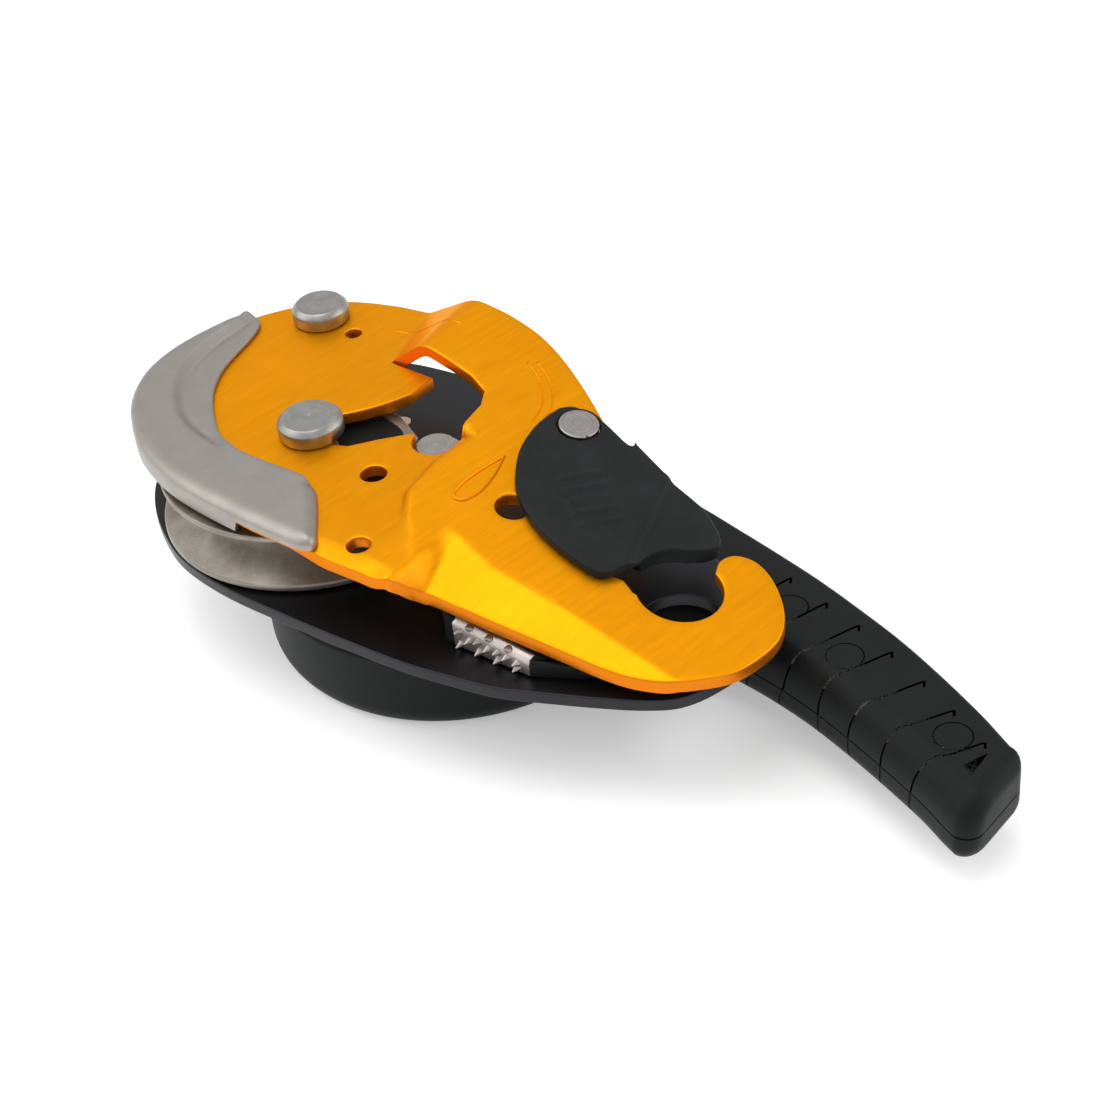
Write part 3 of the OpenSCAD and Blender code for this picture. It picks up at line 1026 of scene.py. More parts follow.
def cut(piece: bpy.types.Object, tools: Iterable[bmesh.types.BMesh],
        operation: str = "DIFFERENCE") -> None:
    """Cuts other bodies out of a piece, or joins them to it.

    Args:
        piece: the piece.
        tools: the bodies, which are freed.
        operation: DIFFERENCE or UNION.
    """
    for tool in tools:
        body = finish_mesh("tool", tool, piece.data.materials[0])
        change = piece.modifiers.new("cut", "BOOLEAN")
        change.operation = operation
        change.solver = "EXACT"
        change.use_self = True
        change.object = body
        bpy.context.view_layer.update()
        evaluated = piece.evaluated_get(bpy.context.evaluated_depsgraph_get())
        made = bpy.data.meshes.new_from_object(evaluated)
        piece.modifiers.clear()
        old = piece.data
        piece.data = made
        bpy.data.meshes.remove(old)
        data = body.data
        bpy.data.objects.remove(body)
        bpy.data.meshes.remove(data)


def shade(piece: bpy.types.Object, smooth: float = CREASE) -> None:
    """Marks a cut piece's sharp edges again.

    Args:
        piece: the piece.
        smooth: edges sharper than this stay sharp, in degrees.
    """
    mesh = bmesh.new()
    mesh.from_mesh(piece.data)
    bmesh.ops.remove_doubles(mesh, verts=mesh.verts, dist=WELD)
    crease(mesh, smooth)
    mesh.to_mesh(piece.data)
    mesh.free()


def soften(node: bpy.types.Object, width: float) -> None:
    """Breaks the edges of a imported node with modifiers.

    Args:
        node: the node's object.
        width: width of the broken edge, in millimetres.
    """
    normals = node.data.attributes.get("custom_normal")
    if normals:
        node.data.attributes.remove(normals)
    node.data.shade_smooth()
    weld = node.modifiers.new("weld", "WELD")
    weld.merge_threshold = WELD
    flat = node.modifiers.new("flat", "DECIMATE")
    flat.decimate_type = "DISSOLVE"
    flat.angle_limit = math.radians(0.4)
    edge = node.modifiers.new("edge", "BEVEL")
    edge.width = width * MM
    edge.segments = 3
    edge.limit_method = "ANGLE"
    edge.angle_limit = math.radians(28.0)
    edge.use_clamp_overlap = False
    edge.miter_outer = "MITER_ARC"
    edge.harden_normals = False
    level = node.modifiers.new("level", "WEIGHTED_NORMAL")
    level.keep_sharp = True
    level.weight = 100


def redress(name: str, material: bpy.types.Material, width: float = 0.0) -> None:
    """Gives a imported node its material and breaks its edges.

    Args:
        name: the node.
        material: its material.
        width: width of the broken edge, in millimetres; 0 leaves its edges as they are.
    """
    node = frame["nodes"][name]
    node.data.materials.clear()
    node.data.materials.append(material)
    if width:
        soften(node, width)
    log.info("%s dressed in %s", name, material.name)


# ---- sub-assemblies ----------------------------------------------------------------------


@dataclass
class NodeDress:
    """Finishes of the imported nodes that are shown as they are."""

    edges: dict[str, float] = field(default_factory=lambda: {
        "fixed_side_plate": 0.35, "cam_sheave": 0.45, "cam_cover": 0.2, "friction_block": 0.3,
        "hub_cover": 0.4, "catch_lever": 0.3, "pivot_spacer": 0.25, "axle_nut": 0.2,
        "thrust_washer": 0.15, "lever_core": 0.3})
    finishes: dict[str, Finish] = field(default_factory=lambda: {
        "fixed_side_plate": Finish.BLACK_PLATE, "pivot_spacer": Finish.PLATED,
        "axle_sleeve": Finish.DARK_STEEL, "axle_nut": Finish.PLATED, "thrust_washer": Finish.BRONZE,
        "friction_block": Finish.DARK_STEEL, "block_rivets": Finish.PLATED,
        "catch_pin": Finish.PLATED, "stop_pin": Finish.PLATED,
        "pivot_bush": Finish.BRONZE, "guard_rivets": Finish.PLATED,
        "gate_bush": Finish.BRONZE, "cam_sheave": Finish.CAST, "cam_bush": Finish.BRONZE,
        "cam_cover": Finish.HUB, "catch_lever": Finish.HANDLE, "hub_cover": Finish.HUB,
        "hub_bush": Finish.BRONZE, "lever_core": Finish.PLATED, "grip_screws": Finish.PLATED})

    def dress(self) -> None:
        """Gives each node its material and breaks its edges."""
        for name, finish in self.finishes.items():
            redress(name, finish.material(), self.edges.get(name, 0.0))


@dataclass
class Studs:
    """Turned studs, the hub axle's head and the gate rivet."""

    pivot_radius: float = 6.9 * MM
    cam_radius: float = 7.6 * MM
    foot_radius: float = 6.2 * MM
    neck: float = 4.0 * MM
    head: float = 4.3 * MM
    disc_edge: float = 0.12

    def stud(self, node: str, radius: float, riveted: bool) -> None:
        """Makes one mushroom-headed stud.

        Args:
            node: the node that it stands for.
            radius: its head's radius.
            riveted: whether it has a riveted foot, or ends flush.
        """
        centre, bottom, top = node_place(node)
        under = top - self.head
        foot = self.foot_radius
        profile = [(0.0, bottom)]
        if riveted:
            profile += [(foot - 0.5 * MM, bottom), (foot, bottom + 0.5 * MM),
                        (foot, bottom + 1.7 * MM), (foot - 0.3 * MM, bottom + 2 * MM),
                        (self.neck, bottom + 2 * MM)]
        else:
            profile += [(self.neck - 0.3 * MM, bottom), (self.neck, bottom + 0.3 * MM)]
        profile += [(self.neck, under), (radius - 0.35 * MM, under), (radius - 0.1 * MM, under + 0.1 * MM),
                    (radius, under + 0.4 * MM), (radius, top - 1.35 * MM),
                    (radius - 0.12 * MM, top - 1.05 * MM), (radius - 0.95 * MM, top - 0.2 * MM),
                    (radius - 1.25 * MM, top), (radius * 0.62, top - 0.02 * MM),
                    (radius * 0.2, top - 0.05 * MM), (0.35 * MM, top - 0.08 * MM),
                    (0.0, top - 0.2 * MM)]
        material = Turned(centre).make(node + "_turned")
        piece = finish_mesh(node + "_turned", lathe(centre, profile), material, 28.0)
        ride(piece, "frame", [node])

    def disc(self, node: str, tone: Colour) -> None:
        """Dresses a node that has a low round head.

        Args:
            node: the node.
            tone: its tone.
        """
        finish = Turned(node_place(node)[0], tone, shine=0.3, pitch=0.4)
        redress(node, finish.make(node + "_turned"), self.disc_edge)

    def build(self) -> None:
        """Makes the studs and dresses the discs."""
        self.stud("pivot_stud", self.pivot_radius, riveted=True)
        self.stud("cam_axle", self.cam_radius, riveted=False)
        self.disc("hub_axle", (0.47, 0.445, 0.42))
        self.disc("gate_rivet", (0.45, 0.42, 0.405))


@dataclass
class Coils:
    """The four springs, wound from round wire."""

    sides: int = 10
    steps: int = 28

    def coil(self, node: str, body: str, wire: float, turns: float, axis: Vector) -> None:
        """Winds one spring in the space that its node holds.

        Args:
            node: the node that it stands for.
            body: the body that it rides on.
            wire: the wire's diameter.
            turns: how many turns it has.
            axis: its axis.
        """
        low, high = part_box(node)
        heart = (low + high) / 2
        tilt = Vector((0, 0, 1)).rotation_difference(axis).to_matrix()
        outer = (high.y - low.y) / 2
        span = (high.z - low.z) - abs(axis.x) * 2 * outer
        radius = outer - wire / 2
        rise = max(span - wire, 0.0)
        count = int(turns * self.steps)
        path = []
        for i in range(count + 1):
            turn = 2 * math.pi * i / self.steps
            inset = 0.0 if rise > wire else wire * i / self.steps
            spot = Vector(((radius - inset) * math.cos(turn), (radius - inset) * math.sin(turn),
                           rise * (i / count - 0.5)))
            path.append(heart + tilt @ spot)
        piece = finish_mesh(node + "_wire", sweep(path, wire / 2, self.sides), Finish.WIRE.material())
        ride(piece, body, [node])

    def build(self) -> None:
        """Winds the springs."""
        up = Vector((0, 0, 1))
        self.coil("cam_spring", "cam", 0.9 * MM, 3.0, up)
        self.coil("catch_spring", "catch", 0.4 * MM, 2.0, up)
        self.coil("hub_spring", "handle", 1.6 * MM, 4.0, up)
        self.coil("gate_spring", "gate", 0.6 * MM, 1.75, Vector(joint("gate_swing")["axis"]))


@dataclass
class Handle:
    """Hub and curved grip: two moulded shells with finger grooves.

    A place on the grip is a distance along its middle line and a place round its section.
    """

    hub_radius: float = 44.0 * MM
    dome_across: float = 4.2 * MM
    dome_up: float = 5.5 * MM
    split: float = -14.0 * MM
    seam: float = 0.35 * MM
    top: float = -5.5 * MM
    bottom: float = -21.0 * MM
    hub_high: float = -8.05 * MM
    hub_low: float = -28.0 * MM
    hub_edge: float = 1.2 * MM
    bore: float = 7.05 * MM
    nut_recess: float = 9.5 * MM
    tip_reach: float = 4.2 * MM
    tip_steps: int = 7
    lean: float = 0.06
    groove: float = 0.3 * MM
    groove_depths: tuple[float, ...] = (-5.5, -5.5, -5.5, -5.5, -7.6, -12.5, -17.5, -20.2)
    groove_lines: tuple[tuple[Point, ...], ...] = (
        ((102.8, 38.9), (99.6, 27.5), (98, 25.4), (97.4, 21.6), (96.2, 19.6), (96.8, 19.8)),
        ((114.1, 35.9), (110.4, 24.9), (108.7, 22.8), (108.1, 19.1), (106.6, 17.6), (107.2, 17.8)),
        ((123.9, 33.3), (119.8, 22.6), (118.1, 20.6), (117.4, 17), (115.7, 15.8), (116.5, 16)),
        ((134.3, 29.7), (129.9, 19.7), (128.2, 18.5), (127, 12.8), (126.9, 11.2), (127.5, 12.8)),
        ((144.6, 25.5), (140.2, 16.8), (138.2, 15.4), (136.3, 10.8), (136.2, 9), (137, 10)),
        ((154.2, 21.2), (149.5, 13.2), (147.7, 12.3), (146.1, 7.3), (145.8, 5.7), (146.4, 7.3)),
        ((164.1, 16.4), (160.3, 9.8), (158.1, 9), (155.7, 5), (154.7, 3), (155.6, 4.2)))
    ejectors: tuple[Point, ...] = ((108.5, 31.1), (127.1, 24), (158.3, 15.1))
    notch: tuple[Point, ...] = ((164, 8.9), (167, 7.2), (166.5, 14.6))
    # The grip's far and near edges in plan, from the hub to the tip
    far_edge: tuple[Point, ...] = ((-62, 45), (-42, 43.7), (-26, 42), (-12, 39.3), (0.5, 36.7),
                                   (13, 33.8), (25.5, 30.2), (38, 26.2), (50.6, 21.2), (63.3, 15.5),
                                   (70, 12), (74.5, 9.6))
    near_edge: tuple[Point, ...] = ((-62, -10), (-42, -9.2), (-26, -6.5), (-14, 2.5), (-2, 7.4),
                                    (12, 7.0), (26.6, 4.6), (38.8, 1.3), (51, -2.7), (62.5, -6.9),
                                    (70, -10.3), (74.3, -12))

    def edges(self, along: float) -> tuple[Vector, Vector]:
        """The grip's two edges at a place along it.

        Args:
            along: 0 at the hub, 1 at the tip.

        Returns:
            The far and near points, in plan.
        """
        found = []
        for points in (self.far_edge, self.near_edge):
            line = smooth_curve(points, 10, closed=False)
            spot = along * (len(line) - 1)
            i = min(int(spot), len(line) - 2)
            found.append(line[i].lerp(line[i + 1], spot - i) * MM)
        return found[0], found[1]

    def section(self, along: float, low: float, high: float) -> list[Vector]:
        """The grip's outline across its middle line.

        Args:
            along: place along the grip.
            low: lowest height that this shell reaches.
            high: highest height.

        Returns:
            Points round the section, the same number for every place.
        """
        far, near = self.edges(along)
        width = (far - near).length
        across = (near - far).normalized()
        corners = [(0.0, self.bottom, 3.2 * MM), (width, self.bottom, 4.5 * MM),
                   (width, self.top, 7.5 * MM), (0.0, self.top, 1.6 * MM)]
        arcs = []
        for start, (x, z, r) in zip((180, 270, 0, 90), corners):
            in_x, in_z = x + (r if x == 0.0 else -r), z + (r if z == self.bottom else -r)
            arcs.append([(in_x + r * math.cos(a), in_z + r * math.sin(a))
                         for a in (math.radians(start + 90 * i / 8) for i in range(9))])
        made = []
        for arc, after in zip(arcs, arcs[1:] + arcs[:1]):
            (x1, z1), (x2, z2) = arc[-1], after[0]
            sides = [(x1 + (x2 - x1) * i / 6, z1 + (z2 - z1) * i / 6) for i in range(1, 6)]
            for x, z in arc + sides:
                z = min(max(z, low), high)
                depth = (self.top - z) / (self.top - self.bottom)
                x *= 1 + self.lean * (depth - 1)
                made.append(Vector((far.x + across.x * x, far.y + across.y * x, z)))
        return made

    def grip(self, low: float, high: float) -> bmesh.types.BMesh:
        """One shell's part of the grip.

        Args:
            low: its lowest height.
            high: its highest height.

        Returns:
            The mesh.
        """
        mesh = bmesh.new()
        stations = [i / 60 for i in range(59)]
        rings = [[mesh.verts.new(p) for p in self.section(place, low, high)] for place in stations]
        far, near = self.edges(stations[-1])
        ahead = Vector((near.y - far.y, far.x - near.x)).normalized() * -1
        if ahead.x < 0:
            ahead = -ahead
        middle, half_width = (far + near) / 2, (far - near).length / 2
        centre, half = (self.top + self.bottom) / 2, (self.top - self.bottom) / 2
        for a in quarter(self.tip_steps)[1:]:
            step, inset = self.tip_reach * math.sin(a), self.tip_reach * (1 - math.cos(a))
            rings.append([])
            for p in self.section(stations[-1], self.bottom, self.top):
                plan = (Vector((p.x, p.y)) - middle) * (1 - inset / half_width)
                z = centre + (p.z - centre) * (half - inset * 0.8) / half
                spot = middle + plan + ahead * step
                rings[-1].append(mesh.verts.new((spot.x, spot.y, min(max(z, low), high))))
        bridge(mesh, rings, caps=True)
        bmesh.ops.remove_doubles(mesh, verts=mesh.verts, dist=1e-7)
        bmesh.ops.dissolve_degenerate(mesh, edges=mesh.edges, dist=1e-7)
        bmesh.ops.recalc_face_normals(mesh, faces=mesh.faces)
        return mesh

    def hub(self) -> bmesh.types.BMesh:
        """The round hub with its domed underside.

        Returns:
            The mesh.
        """
        radius, edge = self.hub_radius, self.hub_edge
        profile = [(0.0, self.hub_low)]
        profile += [(radius - self.dome_across * (1 - math.sin(a)),
                     self.hub_low + self.dome_up * (1 - math.cos(a))) for a in quarter(12)]
        profile += [(radius - edge * (1 - math.cos(a)), self.hub_high - edge * (1 - math.sin(a)))
                    for a in quarter(6)]
        return lathe(PIVOT[:2], profile + [(0.0, self.hub_high)], 144)

    def bore_tool(self, low: float, high: float, radius: float) -> bmesh.types.BMesh:
        """A round cutter on the hub's axis.

        Args:
            low: its lowest height.
            high: its highest height.
            radius: its radius.

        Returns:
            The mesh.
        """
        return lathe(PIVOT[:2], [(0, low), (radius, low), (radius, high), (0, high)])

    def skin(self) -> BVHTree:
        """Returns the whole grip's surface, for finding places on it."""
        whole = self.grip(self.bottom, self.top)
        tree = BVHTree.FromBMesh(whole)
        whole.free()
        return tree

    def groove_tools(self) -> bmesh.types.BMesh:
        """Bars that cut the finger grooves over the top, the shoulder and the near side.

        Returns:
            All bars in one mesh.
        """
        tree = self.skin()
        tools = bmesh.new()
        for line in self.groove_lines:
            x, y = line[0]
            plan = [(x + 1.3, y - 1.0), (x + 0.7, y - 0.1), *line]
            path = []
            for p in smooth_curve([(*spot, z) for spot, z in zip(plan, self.groove_depths)], 6,
                                  closed=False):
                spot = from_axle([(p.x, p.y)])[0]
                path.append(tree.find_nearest(Vector((spot.x, spot.y, p.z * MM)))[0])
            for _ in range(3):
                inner = [(a + b * 2 + c) / 4 for a, b, c in zip(path, path[1:], path[2:])]
                path = [path[0], *inner, path[-1]]
            self.add(tools, sweep(path, self.groove, 8))
        for x, y in self.ejectors:
            centre = from_axle([(x, y)])[0]
            loop = [Vector((p.x, p.y, self.top)) for p in ring(centre, 4 * MM, sides=40)]
            self.add(tools, sweep(loop, 0.14 * MM, 8, closed=True))
        sharp = 0.0001 * MM
        side = round_profile(self.top - 1.2 * MM, self.top + 1 * MM, sharp, sharp, 1)
        self.add(tools, slab(from_axle(self.notch), side))
        return tools

    @staticmethod
    def add(whole: bmesh.types.BMesh, part: bmesh.types.BMesh) -> None:
        """Moves one mesh into another.

        Args:
            whole: the mesh that grows.
            part: the mesh that is freed.
        """
        data = bpy.data.meshes.new("part")
        bmesh.ops.recalc_face_normals(part, faces=part.faces)
        part.to_mesh(data)
        part.free()
        whole.from_mesh(data)
        bpy.data.meshes.remove(data)

    def build(self) -> None:
        """Makes both shells."""
        material = Finish.HANDLE.material()
        gap = self.seam / 2
        upper = finish_mesh("grip_upper", self.grip(self.split + gap, self.top), material)
        lower = finish_mesh("grip_lower", self.grip(self.bottom, self.split - gap), material)
        cut(upper, [self.bore_tool(-20 * MM, 0.0, self.hub_radius - 2 * MM)])
        cut(lower, [self.hub()], "UNION")
        cut(lower, [self.bore_tool(-25 * MM, 0 * MM, self.hub_radius - 4 * MM),
                    self.bore_tool(-30 * MM, 0.0, self.bore),
                    self.bore_tool(-29 * MM, -25.05 * MM, self.nut_recess)])
        for shell, node in ((upper, "handle_upper_shell"), (lower, "handle_lower_shell")):
            cut(shell, [self.groove_tools()])
            shade(shell)
            ride(shell, "handle", [node])


@dataclass
class MovingPlate:
    """Formed plate: flat head, ramp, raised hook with a down-turned edge.

    Outlines and heights are in millimetres, laid out from the cam axle.
    """

    thick: float = 3.0
    flat: float = 19.5
    rise: float = 29.3
    fall: float = 0.21
    hook_hole: Point = (95.9, 9.3)
    hook_radius: float = 9.25
    head: tuple[Point, ...] = (
        (-10.8, 52.6), (-20, 50.8), (-31, 46.6), (-39.4, 40), (-45.8, 31), (-49.4, 22), (-51.1, 10),
        (-50.6, 0), (-47.7, -7.6), (-42.6, -14.6), (-36.3, -20.2), (-28, -25.8), (-16, -30),
        (-4, -31.6), (10, -31.9), (24, -31.7), (35.2, -31.3), (43.4, -30.9), (47.2, -30.6), (49.8, -29.8),
        (51.2, -28.2), (52.3, -26.8), (53.6, -25.1), (55.4, -24.1), (59.4, -23.6), (63.4, -23.2),
        (72.8, -21.7), (82, -20.1), (88.8, -19), (95.7, -17.9),
        (102.6, -16.1), (109.3, -12.9), (113.5, -8.5), (117.8, -1.5), (119.4, 8), (118.3, 14.5),
        (114.5, 20.2), (108.5, 25), (103, 26.8), (98.8, 25.3), (97.4, 21.8), (98.6, 18.4))
    mouth: tuple[Point, ...] = ((89.5, 1.8), (86, 3.3), (79, 1.2), (71, 1.2), (69, 8), (71, 20),
                                (71, 27), (68.5, 32))
    back: tuple[Point, ...] = ((60, 36.3), (53.6, 39.5), (48, 42.8), (41, 46.7), (32.3, 50.8),
                               (24, 53.4), (15, 54.2), (8, 53.6), (2, 52.8))
    slit: tuple[Point, ...] = ((9.3, 31.3), (-3.5, 31.3), (-3.5, 31.9), (9.3, 31.9), (15, 31.8),
                               (22, 31.2), (27.4, 29.2), (29.8, 25), (31.2, 16), (31.9, 12))
    near: tuple[Point, ...] = ((20.2, 12), (15, 6), (10.8, 0.4))
    holes: tuple[tuple[float, float, float], ...] = (
        (-32, 37, 5.4), (23.1, -4.4, 3), (37.8, -25.2, 2.65), (55.5, 4.4, 3.8), (-20.5, 36, 2))
    scratch: float = 0.3
    smooth: float = 40.0
    marks: tuple[tuple[Point, ...], ...] = (
        ((28.4, 43.6), (33.4, 41.2), (37.4, 37.8), (40.4, 33.6), (41.8, 28.5)),
        ((29.9, 45.2), (34.8, 42.8), (39.2, 39.2), (42.3, 34.6), (43.8, 29.2)),
        ((44.3, 15.5), (46.4, 9.6), (47.6, 3.4), (46.6, -1.4), (44.2, -1.6), (43.2, 2.4), (43.4, 8.6),
         (44.3, 15.5)),
        ((-12.6, 42.2), (-8.1, 43.2), (-2.8, 43.2), (3.5, 43.5), (8.4, 43.8)))

    def top(self, x: np.ndarray, y: np.ndarray) -> np.ndarray:
        """Height of the upper face.

        Args:
            x: x of the places, in metres.
            y: y of the places.

        Returns:
            The heights, in metres.
        """
        x, y = to_axle(x, y)
        raised = self.rise - self.fall * x
        climb = 0.86 - 0.012 * np.clip(y - 31.7, 0.0, 22.0)
        ramp = climb * bent((x + 3.5) * 0.949 + (y - 31.7) * 0.315, 1.2)
        foot = np.interp(y, [-31, -22, -13.4, -7.2, 5, 16, 31], [52, 48.6, 38.9, 34.4, 31.9, 31.4, -29])
        steep = np.interp(y, [-31, -16, -9, -5, 16], [0.3, 0.4, 1.2, 1.6, 0.75])
        wall = steep * bent((x - foot) * 0.97, 0.6)
        ground = self.flat + np.where(y > 31.6, ramp, np.where(x > np.where(y > 20, 12, 22), wall, 0.0))
        soft = np.where(y > 31.6, 2.6, 1.4)
        share = np.clip(0.5 + 0.5 * (raised - ground) / soft, 0.0, 1.0)
        height = raised * (1 - share) + ground * share - soft * share * (1 - share)
        ridge = np.interp(x, [49, 63.8, 82.7, 109.4], [-9.5, -12.8, -11.9, -11.9])
        fold = np.interp(y, [-23.6, -9.3], [50.7, 49.2])
        height = height - 0.364 * bent(ridge - y, 0.5) * eased(x - fold, -1.5, 4.5)
        roll = eased(x, 22.0, 34.0) * (1 - eased(x, 45.0, 52.0))
        return (height - 0.4 * bent(-27.5 - y, 0.8) * roll) * MM

    def bottom(self, x: np.ndarray, y: np.ndarray) -> np.ndarray:
        """Height of the underside.

        Args:
            x: x of the places, in metres.
            y: y of the places.

        Returns:
            The heights, in metres.
        """
        step = 0.3 * MM
        here = self.top(x, y)
        slant = np.hypot(self.top(x + step, y) - here, self.top(x, y + step) - here) / step
        return here - self.thick * MM * np.minimum(np.sqrt(1 + slant ** 2), 1.15)

    def outlines(self) -> tuple[list[Vector], list[list[Vector]]]:
        """The outline and the holes.

        Returns:
            The closed outline, anticlockwise, and the holes.
        """
        outer = from_axle(smooth_curve(self.head, 6, closed=False))
        outer += ring(from_axle([self.hook_hole])[0], self.hook_radius * MM, 71, -127, 48)
        outer += from_axle(self.mouth) + from_axle(smooth_curve(self.back, 5, closed=False))
        window = ring(from_axle([(-32, 37)])[0], 43.4 * MM, -49, -18, 10) + from_axle(self.slit)
        window += ring(from_axle([(26.5, 12.5)])[0], 5.4 * MM, -10, -170, 10) + from_axle(self.near)
        window += ring(from_axle([(0, 0)])[0], 5.2 * MM, -20, -220, 12)
        round_holes = [ring(from_axle([(x, y)])[0], r * MM, sides=40) for x, y, r in self.holes]
        return outer, [window] + round_holes

    def engraving(self) -> list[bmesh.types.BMesh]:
        """Cutters for the plain lines on the upper face.

        Returns:
            One bar for each line.
        """
        bars = []
        for mark in self.marks:
            line = from_axle(smooth_curve(mark, 8, closed=False))
            x, y = xy_arrays(line)
            height = self.top(x, y) + 0.1 * MM
            bars.append(sweep([Vector(v) for v in zip(x, y, height)], self.scratch * MM, 8))
        return bars

    def build(self) -> None:
        """Makes the plate."""
        outer, holes = self.outlines()
        mesh = Sheet(outer, holes, self.top, self.bottom, 0.35 * MM, 1.4 * MM).mesh()
        plate = finish_mesh("formed_plate", mesh, Finish.YELLOW.material(), self.smooth)
        cut(plate, self.engraving())
        shade(plate, self.smooth)
        ride(plate, "moving_plate", ["moving_side_plate"])


@dataclass
class Guard:
    """Pressed wear guard with a rolled outer edge and a lower inner flange."""

    high: float = 22.1
    flange: float = 20.7
    seat: float = 19.5
    skirt: float = 16.0
    roll: float = 3.2
    outer: tuple[Point, ...] = (
        (-47.2, 27.6), (-49.6, 25.4), (-51.2, 20.6), (-52.8, 10), (-52.3, 0), (-49.4, -8), (-44.3, -15.3),
        (-37.2, -21.4), (-28, -27.2), (-16, -31.3), (-4, -33), (9, -33.5), (20, -33.5), (27, -33.3),
        (30, -32), (30, -30), (28.4, -27.9), (22.9, -21.9), (18.2, -17.3), (15.4, -16), (11, -15.4),
        (2, -16), (-7, -16), (-14, -14), (-20, -10.6), (-27.8, -4.2), (-32.5, 1.3), (-35.9, 7.4),
        (-38, 13.8), (-39.8, 20.6), (-41.6, 25), (-44.2, 27.6))
    rolled: int = 19
    groove: tuple[Point, ...] = ((-47.6, 40), (-45.6, 24), (-45.2, 14), (-43.6, 5.4), (-39.4, -3.2),
                                 (-30, -11.6), (-20.6, -15.2), (-10, -16.6))

    def lines(self) -> tuple[list[Vector], list[Vector]]:
        """Returns the outline and the line of the step between band and flange."""
        return (from_axle(smooth_curve(self.outer, 6)),
                from_axle(smooth_curve(self.groove, 5, closed=False)))

    def top(self, x: np.ndarray, y: np.ndarray) -> np.ndarray:
        """Height of the upper face.

        Args:
            x: x of the places, in metres.
            y: y of the places.

        Returns:
            The heights, in metres.
        """
        outline, groove = self.lines()
        side = inside([groove + from_axle([(-10, -60), (-80, -60), (-80, 40)])], x, y)
        right = eased(x, *(p.x for p in from_axle([(-19, 0), (-9, 0)])))
        off = reach(groove, x, y, closed=False) / MM
        off = np.where(side, off, -off)
        share = np.maximum(eased(off, -0.4, 2.0), right)
        height = self.flange + (self.high - self.flange) * share
        height = height - 0.16 * np.exp(-((off + 0.6) / 0.6) ** 2) * (1 - right)
        away = reach(outline[6:self.rolled * 6 + 1], x, y, closed=False) / MM
        near = np.clip(self.roll - away, 0.0, self.roll)
        rounded = self.roll - np.sqrt(np.maximum(self.roll ** 2 - near ** 2, 0.0))
        return (height - 0.8 * rounded) * MM

    def bottom(self, x: np.ndarray, y: np.ndarray) -> np.ndarray:
        """Height of the underside: the seat on the plate, and the skirt round its edge.

        Args:
            x: x of the places, in metres.
            y: y of the places.

        Returns:
            The heights, in metres.
        """
        outline, _ = self.lines()
        away = reach(outline[:self.rolled * 6 + 1], x, y, closed=False) / MM
        reached = (x < AXLE[0] + 8 * MM) & (y < AXLE[1] + 26 * MM)
        low = np.where(reached, self.skirt, self.seat)
        inner = eased(away, 1.3, 1.8)
        return np.minimum((low + (self.seat - low) * inner) * MM, self.top(x, y) - 0.9 * MM)

    def build(self) -> None:
        """Makes the guard."""
        outline, _ = self.lines()
        mesh = Sheet(outline, [], self.top, self.bottom, 0.45 * MM, 1.2 * MM).mesh()
        ride(finish_mesh("pressed_guard", mesh, Finish.GUARD.material(), 50.0), "moving_plate",
             ["wear_guard"])


